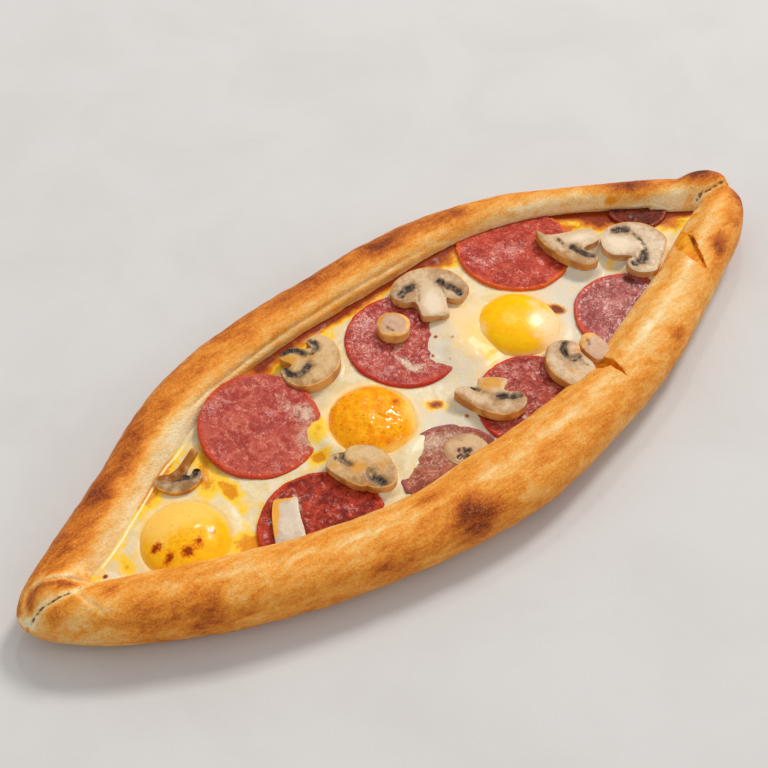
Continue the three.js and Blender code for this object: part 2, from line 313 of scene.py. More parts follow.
def settle(piece: bpy.types.Object, node: str, material: bpy.types.Material) -> None:
    """Finish a piece: smooth shading, material, and its place in the frame.

    Args:
        piece: The finished object.
        node: The solid that it stands for.
        material: Its material.
    """
    take(piece)
    bpy.ops.object.shade_smooth()
    piece.data.materials.clear()
    piece.data.materials.append(material)
    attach(piece, BODY)
    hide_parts(node)
    LOG.info("%s: %d faces", piece.name, len(piece.data.polygons))


@dataclass(frozen=True)
class Patch:
    """A soft-edged patch on a surface, in millimetres of the part's frame."""

    x: float
    y: float
    reach: float
    strength: float = 1.0
    stretch: float = 1.0
    turn: float = 0.0
    z: float | None = None

    def cover(self, points: np.ndarray, ragged: np.ndarray) -> np.ndarray:
        """Say how much of the patch lies on each point.

        Args:
            points: Places in millimetres, one row each.
            ragged: Unevenness of the patch's outline at each place.

        Returns:
            The patch's strength in its middle, fading to 0 round it.
        """
        away = points[:, :2] - (self.x, self.y)
        cosine, sine = math.cos(math.radians(self.turn)), math.sin(math.radians(self.turn))
        along = (away[:, 0] * cosine + away[:, 1] * sine) / self.stretch
        across = away[:, 1] * cosine - away[:, 0] * sine
        height = 0.0 if self.z is None else points[:, 2] - self.z
        distance = np.sqrt(along ** 2 + across ** 2 + height ** 2) / self.reach
        return self.strength * np.exp(-((distance * (1 + ragged)) ** 2))


def covered(patches: Sequence[Patch], points: np.ndarray, ragged: np.ndarray) -> np.ndarray:
    """Add up patches on a surface.

    Args:
        patches: The patches.
        points: Places in millimetres, one row each.
        ragged: Unevenness of the outlines at each place.

    Returns:
        Their sum at each place.
    """
    total = np.zeros(len(points))
    for patch in patches:
        total += patch.cover(points, ragged)
    return total


def patches(*rows: tuple[float, ...]) -> tuple[Patch, ...]:
    """Make patches, each from a row of its fields."""
    return tuple(Patch(*row) for row in rows)


@dataclass(frozen=True)
class Stroke:
    """A narrow line along a path, in plan or in space, in millimetres."""

    path: tuple[tuple[float, ...], ...]
    width: float
    depth: float = 1.0

    def measure(self, points: np.ndarray) -> tuple[np.ndarray, np.ndarray, np.ndarray]:
        """Find where points lie from the path.

        Args:
            points: Places in millimetres, one row each.

        Returns:
            Each point's distance from the path, its place along the path, and -1 right of it or 1 left of it.
        """
        path = np.array(self.path)
        places = points[:, :path.shape[1]]
        nearest = np.full(len(points), np.inf)
        place = np.zeros(len(points))
        side = np.ones(len(points))
        passed = 0.0
        for first, second in zip(path[:-1], path[1:]):
            step = second - first
            away = places - first
            share = (away @ step) / (step @ step)
            gap = np.linalg.norm(away - np.clip(share, 0, 1)[:, None] * step, axis=1)
            cross = step[0] * away[:, 1] - step[1] * away[:, 0]
            closer = gap < nearest
            place = np.where(closer, passed + share * np.linalg.norm(step), place)
            side = np.where(closer, np.where(cross < 0, -1.0, 1.0), side)
            nearest = np.minimum(gap, nearest)
            passed += np.linalg.norm(step)
        return nearest, place, side

    def cover(self, points: np.ndarray, widen: float = 1.0) -> np.ndarray:
        """Give the line's strength at each point: 1 on its path, 0 away from it."""
        return hump(self.measure(points)[0], 0.0, self.width * widen)


class NodeBench:
    """A material's nodes while they are put together."""

    def __init__(self, name: str) -> None:
        """Start a material with its shader.

        Args:
            name: The material's name.
        """
        self.material = bpy.data.materials.new(name)
        self.material.use_nodes = True
        self.tree = self.material.node_tree
        self.shader = self.tree.nodes["Principled BSDF"]
        self.place = self.tree.nodes.new("ShaderNodeTexCoord").outputs["Object"]

    def feed(self, socket: bpy.types.NodeSocket, value: Any) -> None:
        """Link a socket to another node's output, or set it to a plain value."""
        if isinstance(value, bpy.types.NodeSocket):
            self.tree.links.new(value, socket)
        else:
            socket.default_value = value

    def add(self, kind: str, inputs: dict[Any, Any], **settings: Any) -> bpy.types.Node:
        """Add a node.

        Args:
            kind: The node's type, without its usual first words.
            inputs: What its inputs are fed, by their names or numbers.
            **settings: The node's own settings.

        Returns:
            The node.
        """
        node = self.tree.nodes.new(f"ShaderNode{kind}")
        for name, value in settings.items():
            setattr(node, name, value)
        for name, value in inputs.items():
            self.feed(node.inputs[name], value)
        return node

    def shade(self, **values: Any) -> None:
        """Set the shader's sockets, named with underscores for spaces."""
        for name, value in values.items():
            self.feed(self.shader.inputs[name.replace("_", " ")], value)

    def layer(self, layer: Layer) -> bpy.types.NodeSocket:
        """Read a painted layer."""
        return self.add("Attribute", {}, attribute_name=layer.value).outputs["Fac"]

    def grain(
        self, size: float, detail: float = 3.0, rough: float = 0.55, warp: float = 0.0, along: float = 1.0
    ) -> bpy.types.NodeSocket:
        """Give cloudy noise.

        Args:
            size: Width of its lumps in millimetres.
            detail: How many finer patterns lie over it.
            rough: How strong those are.
            warp: How far it is twisted.
            along: How much longer its lumps are along the boat.

        Returns:
            A value about 0.5.
        """
        place = self.place
        if along != 1.0:
            stretch = {0: place, 1: (1 / along, 1.0, 1.0)}
            place = self.add("VectorMath", stretch, operation="MULTIPLY").outputs[0]
        inputs = {"Vector": place, "Scale": 1 / (size * MM)}
        inputs.update({"Detail": detail, "Roughness": rough, "Distortion": warp})
        return self.add("TexNoise", inputs).outputs["Fac"]

    def strands(self, layer: Layer, size: float) -> bpy.types.NodeSocket:
        """Give uneven stripes across a painted distance, each about as wide as a size in millimetres."""
        inputs = {"W": self.layer(layer), "Scale": 1 / size, "Detail": 2.0}
        return self.add("TexNoise", inputs, noise_dimensions="1D").outputs["Fac"]

    def cells(self, size: float) -> bpy.types.NodeSocket:
        """Give the distance to spots scattered at a mean distance in millimetres, as a share of that."""
        return self.add("TexVoronoi", {"Vector": self.place, "Scale": 1 / (size * MM)}).outputs["Distance"]

    def sum(self, first: Any, second: Any, factor: float = 1.0) -> bpy.types.NodeSocket:
        """Add to a value another one times a factor."""
        return self.add("Math", {0: second, 1: factor, 2: first}, operation="MULTIPLY_ADD").outputs[0]

    def uneven(self, value: Any, noise: bpy.types.NodeSocket, factor: float) -> bpy.types.NodeSocket:
        """Make a painted layer or another value uneven by noise about 0.5 times a factor."""
        start = self.layer(value) if isinstance(value, Layer) else value
        return self.sum(start, self.sum(-0.5, noise), factor)

    def times(self, first: Any, second: Any) -> bpy.types.NodeSocket:
        """Multiply two values."""
        return self.add("Math", {0: first, 1: second}, operation="MULTIPLY").outputs[0]

    def span(
        self, value: Any, low: float, high: float, start: float = 0.0, end: float = 1.0
    ) -> bpy.types.NodeSocket:
        """Turn a value between low and high into one between start and end, smoothly."""
        inputs = {"Value": value, "From Min": low, "From Max": high, "To Min": start, "To Max": end}
        return self.add("MapRange", inputs, interpolation_type="SMOOTHSTEP").outputs["Result"]

    def ramp(self, value: Any, stops: Sequence[tuple[float, Colour]]) -> bpy.types.NodeSocket:
        """Pick a colour by a value.

        Args:
            value: The value, 0 to 1.
            stops: Where each colour is reached.

        Returns:
            The colour.
        """
        node = self.add("ValToRGB", {"Fac": value})
        elements = node.color_ramp.elements
        for index, (position, colour) in enumerate(stops):
            element = elements[index] if index < 2 else elements.new(position)
            element.position = position
            element.color = colour
        return node.outputs["Color"]

    def mix(self, share: Any, first: Any, second: Any) -> bpy.types.NodeSocket:
        """Mix two colours by the second one's share."""
        return self.add("Mix", {"Factor": share, 6: first, 7: second}, data_type="RGBA").outputs[2]

    def over(
        self, under: Any, colour: Any, value: Any, low: float, high: float, most: float = 1.0
    ) -> bpy.types.NodeSocket:
        """Lay a colour over another where a value rises.

        Args:
            under: The colour underneath.
            colour: The colour on top.
            value: What decides how much of it shows.
            low: The value where it starts to show.
            high: The value where it shows most.
            most: The greatest share that shows.

        Returns:
            The mixed colour.
        """
        return self.mix(self.span(value, low, high, 0.0, most), under, colour)

    def bump(self, height: Any, depth: float, strength: float, under: Any = None) -> bpy.types.NodeSocket:
        """Give fine relief.

        Args:
            height: The relief's height, 0 to 1.
            depth: What 1 means in millimetres.
            strength: How much of it shows.
            under: Coarser relief that it lies on.

        Returns:
            The bumped direction.
        """
        inputs = {"Height": height, "Distance": depth * MM, "Strength": strength}
        if under is not None:
            inputs["Normal"] = under
        return self.add("Bump", inputs).outputs["Normal"]


@dataclass(frozen=True)
class DoughFinish:
    """Baked dough, from cream through gold to scorched brown."""

    stops: tuple[tuple[float, Colour], ...] = (
        (0.0, tone(248, 226, 184)),
        (0.15, tone(244, 208, 146)),
        (0.30, tone(240, 180, 96)),
        (0.42, tone(236, 154, 52)),
        (0.55, tone(217, 126, 30)),
        (0.70, tone(182, 90, 14)),
        (0.85, tone(136, 56, 10)),
        (1.0, tone(92, 36, 12)),
    )
    flour: Colour = tone(252, 214, 146)
    egg_stain: Colour = tone(232, 150, 20)
    cut_face: Colour = tone(226, 120, 6)
    cut_light: Colour = tone(240, 164, 30)
    cut_edge: Colour = tone(158, 66, 22)
    crack: Colour = tone(126, 84, 36)

    def material(self) -> bpy.types.Material:
        """Make the material."""
        bench = NodeBench("baked_dough")
        blotch = bench.grain(6.0, 4.0, 0.66, 0.5, 1.6)
        streak = bench.grain(1.8, 4.0, 0.62, 0.2, 4.5)
        fine = bench.grain(0.9, 3.0, 0.7)
        dust = bench.grain(0.6, 2.0, 0.5)
        toast = bench.uneven(Layer.TOAST, blotch, 0.58)
        toast = bench.uneven(toast, streak, 0.40)
        toast = bench.uneven(toast, fine, 0.42)
        colour = bench.ramp(toast, self.stops)
        colour = bench.over(colour, self.flour, dust, 0.58, 0.74, 0.26)
        stain = bench.uneven(Layer.STAIN, fine, 0.5)
        colour = bench.over(colour, self.egg_stain, stain, 0.25, 0.7)
        cut = bench.uneven(Layer.CUT, fine, 0.3)
        face = bench.over(self.cut_face, self.cut_light, streak, 0.4, 0.62)
        colour = bench.over(colour, face, cut, 0.2, 0.5)
        burnt = bench.uneven(cut, streak, 1.6)
        colour = bench.over(colour, self.cut_edge, burnt, 0.78, 1.15, 0.9)
        crack = bench.uneven(Layer.CRACK, fine, 0.9)
        colour = bench.over(colour, self.crack, crack, 0.25, 0.75, 0.9)
        relief = bench.bump(streak, 0.7, 0.55)
        relief = bench.bump(fine, 0.5, 0.9, relief)
        relief = bench.bump(dust, 0.22, 0.8, relief)
        bench.shade(
            Base_Color=colour,
            Roughness=bench.span(blotch, 0.3, 0.7, 0.42, 0.6),
            Normal=relief,
            Specular_IOR_Level=0.2,
            Subsurface_Weight=0.1,
            Subsurface_Radius=(1.0, 0.45, 0.15),
            Subsurface_Scale=2.0 * MM,
        )
        return bench.material


@dataclass(frozen=True)
class FillingFinish:
    """Melted cheese and set egg white, stained by yolk and oil and scorched in places."""

    cheese: Colour = tone(220, 200, 152)
    cheese_light: Colour = tone(229, 216, 184)
    egg_white: Colour = tone(217, 208, 190)
    peach: Colour = tone(248, 206, 126)
    yolk_stain: Colour = tone(246, 200, 44)
    deep_stain: Colour = tone(220, 138, 14)
    oil: Colour = tone(206, 114, 0)
    deep_oil: Colour = tone(134, 44, 0)
    scorch: Colour = tone(122, 50, 22)
    painted_glint: Colour = tone(255, 246, 200)

    def material(self) -> bpy.types.Material:
        """Make the material."""
        bench = NodeBench("melted_filling")
        cloudy = bench.grain(5.0, 3.0, 0.55, 0.3)
        medium = bench.grain(2.6, 4.0, 0.65, 0.5)
        fine = bench.grain(1.1, 3.0, 0.6, 0.3)
        colour = bench.over(self.cheese, self.cheese_light, cloudy, 0.35, 0.65)
        colour = bench.mix(bench.layer(Layer.WHITE), colour, self.egg_white)
        colour = bench.over(colour, self.cheese, fine, 0.56, 0.75, 0.35)
        colour = bench.mix(bench.layer(Layer.PEACH), colour, self.peach)
        stain = bench.uneven(Layer.STAIN, medium, 1.3)
        colour = bench.over(colour, self.yolk_stain, stain, 0.1, 0.7, 0.95)
        colour = bench.over(colour, self.deep_stain, stain, 0.8, 1.2)
        oil = bench.uneven(Layer.OIL, medium, 1.0)
        colour = bench.over(colour, self.yolk_stain, oil, 0.0, 0.4)
        colour = bench.over(colour, self.oil, oil, 0.25, 0.8)
        colour = bench.over(colour, self.deep_oil, oil, 0.75, 1.45)
        scorch = bench.uneven(Layer.SCORCH, fine, 0.5)
        colour = bench.over(colour, self.oil, scorch, 0.15, 0.5, 0.7)
        colour = bench.over(colour, self.scorch, scorch, 0.4, 0.85, 0.95)
        # Painted highlight: a bright line along the foot of the far wall
        colour = bench.mix(bench.layer(Layer.GLINT), colour, self.painted_glint)
        relief = bench.bump(medium, 0.5, 0.35)
        bench.shade(
            Base_Color=colour,
            Roughness=bench.span(cloudy, 0.3, 0.7, 0.34, 0.5),
            Normal=bench.bump(fine, 0.25, 0.6, relief),
            Specular_IOR_Level=0.1,
            Subsurface_Weight=0.2,
            Subsurface_Radius=(1.0, 0.7, 0.35),
            Subsurface_Scale=2.5 * MM,
            Coat_Weight=0.1,
            Coat_Roughness=0.14,
        )
        return bench.material


@dataclass(frozen=True)
class YolkFinish:
    """Baked yolk under a thin film of egg white."""

    name: str
    yolk: Colour
    deep: Colour
    film: Colour = tone(250, 200, 96)
    scorch: Colour = tone(154, 62, 8)
    halo: Colour = tone(226, 120, 6)
    fleck: Colour = tone(190, 96, 6)
    fleck_share: float = 0.0
    rough: float = 0.3
    gloss: float = 0.55
    gloss_rough: float = 0.08

    def material(self) -> bpy.types.Material:
        """Make the material."""
        bench = NodeBench(self.name)
        cloudy = bench.grain(3.6, 3.0, 0.6, 0.2)
        fine = bench.grain(0.9, 3.0, 0.6)
        dots = bench.grain(0.85, 3.0, 0.6, 0.6)
        colour = bench.over(self.yolk, self.deep, cloudy, 0.38, 0.68)
        colour = bench.over(colour, self.fleck, dots, 0.57, 0.67, self.fleck_share)
        film = bench.uneven(Layer.FILM, cloudy, 0.35)
        colour = bench.over(colour, self.film, film, 0.15, 0.85)
        scorch = bench.uneven(Layer.SCORCH, fine, 1.5)
        colour = bench.over(colour, self.halo, scorch, 0.1, 0.5, 0.85)
        colour = bench.over(colour, self.scorch, scorch, 0.5, 0.85)
        bench.shade(
            Base_Color=colour,
            Roughness=self.rough,
            Normal=bench.bump(fine, 0.12, 0.5),
            Specular_IOR_Level=0.1,
            Subsurface_Weight=0.15,
            Subsurface_Radius=(1.0, 0.55, 0.1),
            Subsurface_Scale=2.0 * MM,
            Coat_Weight=self.gloss,
            Coat_Roughness=self.gloss_rough,
        )
        return bench.material


@dataclass(frozen=True)
class SausageFinish:
    """Cured sausage: mottled red meat with pale flecks, a brighter edge and painted highlights for its wet
    specks.
    """

    name: str
    meat: Colour
    dark: Colour
    fat: Colour
    edge: Colour
    film: Colour = tone(226, 206, 178)
    char: Colour = tone(78, 26, 10)
    painted_shine: Colour = tone(240, 184, 172)
    fat_share: float = 0.6

    def material(self) -> bpy.types.Material:
        """Make the material."""
        bench = NodeBench(self.name)
        cloudy = bench.grain(7.0, 3.0, 0.6, 0.6)
        medium = bench.grain(2.6, 4.0, 0.66, 0.7)
        fine = bench.grain(0.75, 3.0, 0.62, 0.3)
        meat = bench.uneven(medium, cloudy, 1.0)
        colour = bench.over(self.dark, self.meat, meat, 0.3, 0.7)
        pale = bench.uneven(medium, fine, 0.6)
        colour = bench.over(colour, self.fat, pale, 0.52, 0.74, 0.75 * self.fat_share)
        edge = bench.uneven(Layer.EDGE, medium, 0.7)
        colour = bench.over(colour, self.edge, edge, 0.15, 0.85, 0.95)
        film = bench.uneven(Layer.FILM, medium, 1.4)
        film = bench.uneven(film, fine, 0.8)
        colour = bench.over(colour, self.film, film, 0.2, 1.15, 0.85)
        # Painted highlights: pale specks that stand in for the wet meat's glints
        painted_glint = bench.uneven(Layer.GLINT, fine, 1.9)
        painted_glint = bench.uneven(painted_glint, medium, 0.7)
        colour = bench.over(colour, self.painted_shine, painted_glint, 0.32, 1.1, 0.7)
        char = bench.uneven(Layer.SCORCH, fine, 0.8)
        colour = bench.over(colour, self.char, char, 0.25, 0.8, 0.92)
        relief = bench.bump(medium, 0.7, 0.6)
        bench.shade(
            Base_Color=colour,
            Roughness=bench.span(fine, 0.35, 0.65, 0.22, 0.42),
            Normal=bench.bump(fine, 0.6, 0.9, relief),
            Specular_IOR_Level=0.2,
            Subsurface_Weight=0.08,
            Subsurface_Radius=(1.0, 0.3, 0.2),
            Subsurface_Scale=1.5 * MM,
            Coat_Weight=0.16,
            Coat_Roughness=0.15,
        )
        return bench.material


@dataclass(frozen=True)
class MushroomFinish:
    """Cooked mushroom: pale flesh, golden skin and dark gills."""

    name: str
    flesh: Colour = tone(213, 184, 147)
    wet: Colour = tone(172, 126, 78)
    skin: Colour = tone(226, 166, 90)
    skin_dark: Colour = tone(186, 118, 50)
    gill: Colour = tone(54, 44, 38)
    gill_edge: Colour = tone(132, 108, 86)
    gill_strand_and_glint: Colour = tone(178, 156, 132)
    film: Colour = tone(210, 146, 34)
    stem: Colour = tone(232, 213, 186)

    def material(self) -> bpy.types.Material:
        """Make the material."""
        bench = NodeBench(self.name)
        cloudy = bench.grain(6.0, 3.0, 0.55, 0.4)
        medium = bench.grain(1.8, 3.0, 0.6, 0.4)
        fine = bench.grain(0.55, 3.0, 0.6)
        wet = bench.uneven(Layer.FILM, medium, 1.2)
        wet = bench.uneven(wet, cloudy, 0.9)
        colour = bench.over(self.flesh, self.wet, wet, -0.05, 0.85, 0.95)
        colour = bench.over(colour, self.wet, fine, 0.53, 0.72, 0.5)
        flecks = bench.grain(0.8, 3.0, 0.65, 0.5)
        colour = bench.over(colour, self.gill_edge, flecks, 0.6, 0.74, 0.4)
        specks = bench.uneven(bench.cells(1.9), cloudy, -0.3)
        colour = bench.over(colour, self.gill_edge, specks, 0.13, 0.04, 0.6)
        stem = bench.uneven(Layer.WHITE, medium, 0.7)
        colour = bench.over(colour, self.stem, stem, 0.2, 0.9, 0.8)
        skin = bench.uneven(Layer.SKIN, medium, 0.3)
        brown = bench.over(self.skin, self.skin_dark, cloudy, 0.38, 0.66)
        colour = bench.over(colour, brown, skin, 0.2, 0.8)
        strand = bench.strands(Layer.STRAND, 0.5)
        gill = bench.times(bench.layer(Layer.GILL), bench.sum(0.35, strand, 1.3))
        gill = bench.times(gill, bench.sum(0.5, medium, 1.0))
        colour = bench.over(colour, self.gill_edge, gill, 0.12, 0.42, 0.8)
        colour = bench.over(colour, self.gill, gill, 0.4, 0.85, 0.92)
        # Pale strands in the gills: partly their own lighter edges and partly painted glints
        pale = bench.times(bench.span(strand, 0.6, 0.72), bench.span(bench.layer(Layer.GILL), 0.4, 0.8))
        colour = bench.over(colour, self.gill_strand_and_glint, pale, 0.0, 1.0, 0.5)
        stain = bench.uneven(Layer.STAIN, medium, 0.9)
        colour = bench.over(colour, self.film, stain, 0.15, 0.95, 0.92)
        relief = bench.bump(medium, 0.3, 0.4)
        bench.shade(
            Base_Color=colour,
            Roughness=bench.span(fine, 0.3, 0.7, 0.36, 0.52),
            Normal=bench.bump(fine, 0.18, 0.6, relief),
            Specular_IOR_Level=0.2,
            Subsurface_Weight=0.12,
            Subsurface_Radius=(1.0, 0.6, 0.35),
            Subsurface_Scale=1.5 * MM,
            Coat_Weight=0.1,
            Coat_Roughness=0.25,
        )
        return bench.material


@dataclass(frozen=True)
class FloorFinish:
    """A plain pale ground."""

    colour: Colour = tone(206, 205, 205)
    mottled: Colour = tone(197, 194, 193)

    def material(self) -> bpy.types.Material:
        """Make the material."""
        bench = NodeBench("pale_ground")
        mottle = bench.grain(60.0, 5.0, 0.6, 0.5)
        colour = bench.over(self.colour, self.mottled, mottle, 0.35, 0.7, 0.5)
        bench.shade(Base_Color=colour, Roughness=0.85, Normal=bench.bump(bench.grain(1.2, 3.0), 0.2, 0.3))
        return bench.material


@dataclass(frozen=True)
class RimLine:
    """A rolled rim's line and section, as the solid has them, and how its browning runs round it."""

    side: int
    reach: float
    tip_offset: float
    bow: float
    taper: float
    lean: float
    height: float
    toast_angles: tuple[float, ...]
    toast_values: tuple[float, ...]
    toast_along: tuple[float, float, float]
    fold_angle: float
    fold_width: float
    fold_depth: float
    fold_ends: tuple[float, float]

    def centre(self, x: np.ndarray) -> np.ndarray:
        """Give the rim's centre line in y for each x, in millimetres."""
        s = np.clip(x / HALF_LENGTH, -1, 1)
        bow = (1 - np.abs(s) ** self.bow) ** self.taper * (1 + self.lean * s)
        return SHIFT_Y + self.side * (self.tip_offset + (self.reach - self.tip_offset) * bow)

    def angle(self, points: np.ndarray) -> np.ndarray:
        """Give each point's angle round the section: 0 outside, 90 on top, 180 inside."""
        outward = self.side * (points[:, 1] - self.centre(points[:, 0]))
        return np.degrees(np.arctan2(points[:, 2] - self.height / 2, outward))

    def has(self, points: np.ndarray) -> np.ndarray:
        """Say which points lie on this rim's side of the boat."""
        return (points[:, 1] - SHIFT_Y) * self.side > 0

    def band(self, points: np.ndarray, angle: float, width: float) -> np.ndarray:
        """Give the strength of a soft band along this rim, at an angle round its section."""
        return hump(self.angle(points), angle, width) * self.has(points)

    def toast(self, points: np.ndarray) -> np.ndarray:
        """Give how browned the rim is by the angle round its section and the place along it."""
        along = np.interp(points[:, 0], (-90.0, 0.0, 90.0), self.toast_along)
        return along + np.interp(self.angle(points), self.toast_angles, self.toast_values)

    def fold(self, points: np.ndarray) -> np.ndarray:
        """Give the strength of the fold line that runs along the rolled dough."""
        wander = 7 * cloud(points * (1.0, 0.0, 0.0), 40.0, self.side + 6, 2)
        near = hump(self.angle(points) - self.fold_angle, wander, self.fold_width)
        start, end = self.fold_ends
        ends = smooth(points[:, 0], start - 10, start + 10) * smooth(points[:, 0], end + 10, end - 10)
        return self.has(points) * near * ends


NEAR_RIM = RimLine(
    -1, 57.2, 3.5, 1.96, 1.14, -0.033, 24.0,
    (-90, -30, 0, 25, 50, 72, 88, 100, 115, 135, 160),
    (0.44, 0.44, 0.42, 0.43, 0.41, 0.36, 0.32, 0.34, 0.39, 0.37, 0.25),
    (0.02, 0.02, -0.02), 94.0, 6.0, 0.5, (-136.0, 136.0),
)
FAR_RIM = RimLine(
    1, 53.8, 3.0, 3.44, 2.57, 0.078, 23.0,
    (-90, -30, 0, 30, 60, 75, 90, 105, 120, 135, 160),
    (0.44, 0.46, 0.50, 0.56, 0.60, 0.59, 0.54, 0.47, 0.38, 0.24, 0.13),
    (0.05, -0.02, -0.12), 135.0, 4.0, 0.8, (-78.0, 36.0),
)


@dataclass(frozen=True)
class RimCut:
    """A cut across the near rim, in millimetres: its corners from the mouth on, and its bottom's slope."""

    corners: tuple[tuple[float, float], ...]
    mouth_bottom: float
    end_bottom: float
    tall: float = 16.0
    voxel: float = 0.45

    def depth(self, points: np.ndarray) -> np.ndarray:
        """Give how deep points lie inside the cut's outline in plan."""
        return -outline_distance(np.array(self.corners), points[:, :2])

    def wedge(self) -> bpy.types.Object:
        """Model the wedge that makes the cut.

        Returns:
            A closed wedge, standing on the cut's bottom.
        """
        corners = np.array(self.corners)
        inward = np.linalg.norm(corners - 0.5 * (corners[0] + corners[-1]), axis=1)
        bottom = self.mouth_bottom + (self.end_bottom - self.mouth_bottom) * inward / inward.max()
        return slab("rim_cut", corners, bottom, self.tall, self.voxel)


@dataclass
class Crust:
    """The dough: its rolled rims, pinched tips, folds and browning."""

    voxel: float = 1.36
    lumps: tuple[tuple[float, float], ...] = ((30.0, 0.6), (12.0, 0.35), (4.5, 0.22))
    undercut: float = 1.7
    upper_side: float = 9.0
    refined: tuple[float, ...] = (3.0, 1.8)
    cuts: tuple[RimCut, ...] = (
        RimCut(
            (
                (57.6, -33.0), (57.4, -40.0), (57.0, -46.0), (55.8, -50.8), (55.0, -46.0), (54.7, -40.0),
                (54.4, -33.0),
            ),
            16.5, 22.0,
        ),
        RimCut(
            (
                (132.0, -5.0), (130.2, -11.0), (128.3, -15.8), (125.2, -21.0), (122.4, -26.5), (119.8, -31.0),
                (118.8, -26.4), (119.2, -20.3), (121.4, -14.0), (124.7, -9.0), (127.2, -4.0),
            ),
            20.1, 22.4,
        ),
    )
    cracks: tuple[Stroke, ...] = (
        Stroke(
            (
                (-170.8, 2.2), (-167.7, -0.1), (-163.2, -0.4), (-160.0, -1.2), (-156.4, -1.8),
                (-153.0, -3.0), (-149.5, -2.3),
            ),
            0.42, 0.8,
        ),
        Stroke(((149.0, 1.5), (157.0, 0.5), (163.0, 0.6), (168.0, 0.0)), 0.5, 0.6),
    )
    slit: Stroke = Stroke(
        ((130.6, -10.0), (128.3, -15.8), (125.2, -21.0), (122.4, -26.5), (120.4, -30.0)), 0.8,
    )
    creases: tuple[Stroke, ...] = (
        Stroke(
            ((127.0, 16.0, 17.6), (131.5, 13.4, 18.2), (134.5, 11.3, 18.1), (138.8, 6.6, 16.2)), 0.6, 0.25,
        ),
        Stroke(
            (
                (-167.8, 4.6), (-166.1, 6.6), (-163.6, 8.2), (-160.7, 7.8), (-156.7, 6.0), (-152.1, 3.5),
                (-148.1, 1.4), (-145.5, 0.6),
            ),
            0.7, 1.1,
        ),
        Stroke(((-151.4, -4.4), (-150.6, -9.2), (-149.0, -14.0)), 1.0, 0.4),
    )
    bulges: tuple[Patch, ...] = patches(
        (-158.5, 3.2, 3.2, 0.9, 2.6, -10, 22.4), (-157.0, -6.5, 4.5, 0.6, 1.5, -10, 22.0),
        (157.0, 6.0, 5.0, 0.5, 2.0, -15, 23.0),
    )
    scorches: tuple[Patch, ...] = patches(
        (-28.4, -61.7, 7.5, 0.50, 1.3, -8, 21.2), (-59.6, -59.3, 9.0, 0.20, 1.4, -18, 16.5),
        (11.5, -57.7, 8.0, 0.14, 1.5, 8, 24.0), (-122.7, -35.1, 7.5, 0.24, 1.2, -30, 18.2),
        (-138.4, -24.4, 6.0, 0.14, 1.0, 0, 20.7), (-142.1, -10.8, 2.0, 0.20, 1.2, 0, 23.8),
        (-119.4, -28.8, 6.5, 0.12, 1.2, -20, 23.7), (-35.5, -46.9, 3.6, 0.22, 1.4, -8, 23.0),
        (-37.5, -52.5, 1.6, 0.22, 1.0, 0, 23.3), (87.1, -46.4, 4.0, 0.28, 1.0, 30, 21.7),
        (133.9, -24.5, 4.6, 0.38, 1.3, 40, 22.1), (165.1, -5.4, 5.5, 0.30, 1.2, 40, 18.2),
        (-125.2, 25.8, 3.2, 0.22, 1.3, 35, 22.5), (-107.8, 33.6, 8.0, 0.16, 1.4, 30, 22.2),
        (-2.1, 62.0, 11.0, 0.10, 1.6, 0, 22.3), (27.7, 58.2, 7.5, 0.26, 1.6, -4, 23.3),
        (62.3, 52.4, 8.0, 0.26, 1.6, -20, 22.4), (129.5, 21.4, 5.0, 0.46, 1.9, -28, 23.3),
        (155.5, 7.4, 5.5, 0.44, 1.8, -15, 24.5), (-156.5, -6.4, 3.6, 0.26, 1.7, -12, 22.6),
        (-162.0, -5.0, 3.0, 0.16, 1.4, -20, 20.0), (-170.0, 2.0, 3.0, 0.15, 1.0, 0, 12.0),
    )
    stains: tuple[Patch, ...] = patches(
        (119.8, 22.8, 2.6, 0.9, 1.5, -20, 19.6), (141.6, -4.6, 2.2, 1.0, 1.5, -60, 19.2),
        (145.5, 0.2, 2.0, 0.9, 1.2, 0, 17.0), (121.4, -20.0, 2.4, 0.6, 2.4, 66, 23.4),
    )

    def build(self, frame: dict[str, Any]) -> bpy.types.Object:
        """Shape the dough from the solid.

        Args:
            frame: The loaded frame.

        Returns:
            The shaped piece.
        """
        piece = copy_of_node(frame, "crust", "crust_dough")
        finish_with(piece, "REMESH", mode="VOXEL", voxel_size=self.voxel * MM)
        finish_with(piece, "SMOOTH", factor=0.5, iterations=10)
        self.refine(piece)
        points = points_of(piece)
        firm = smooth(points[:, 2], 1.0, 6.0)
        swell = np.zeros(len(points))
        for index, (size, height) in enumerate(self.lumps):
            swell += height * cloud(points, size, index + 1, 2)
        swell += covered(self.bulges, points, np.zeros(len(points)))
        for line in self.cracks + self.creases:
            swell -= line.depth * self.drawn(line, points) * (1 + 0.5 * cloud(points, 2.5, 9))
        for rim in (NEAR_RIM, FAR_RIM):
            swell -= rim.fold_depth * rim.fold(points) * (0.9 + 0.7 * cloud(points, 9.0, 8))
        base = FAR_RIM.band(points, 160.0, 11.0) * (points[:, 1] > SHIFT_Y + 8)
        swell -= self.undercut * base * smooth(points[:, 0], -95, -60)
        points += normals_of(piece) * (swell * firm)[:, None]
        points[:, 2] = np.maximum(points[:, 2], 0.0)
        move_points(piece, points)
        for cut in self.cuts:
            wedge = cut.wedge()
            finish_with(piece, "BOOLEAN", object=wedge, operation="DIFFERENCE", solver="EXACT")
            bpy.data.objects.remove(wedge)
        return piece

    def drawn(self, line: Stroke, points: np.ndarray, widen: float = 1.0) -> np.ndarray:
        """Give a line's strength at each point, for a line in plan only on the dough's upper side."""
        upper = points[:, 2] > self.upper_side if len(line.path[0]) == 2 else 1.0
        return line.cover(points, widen) * upper

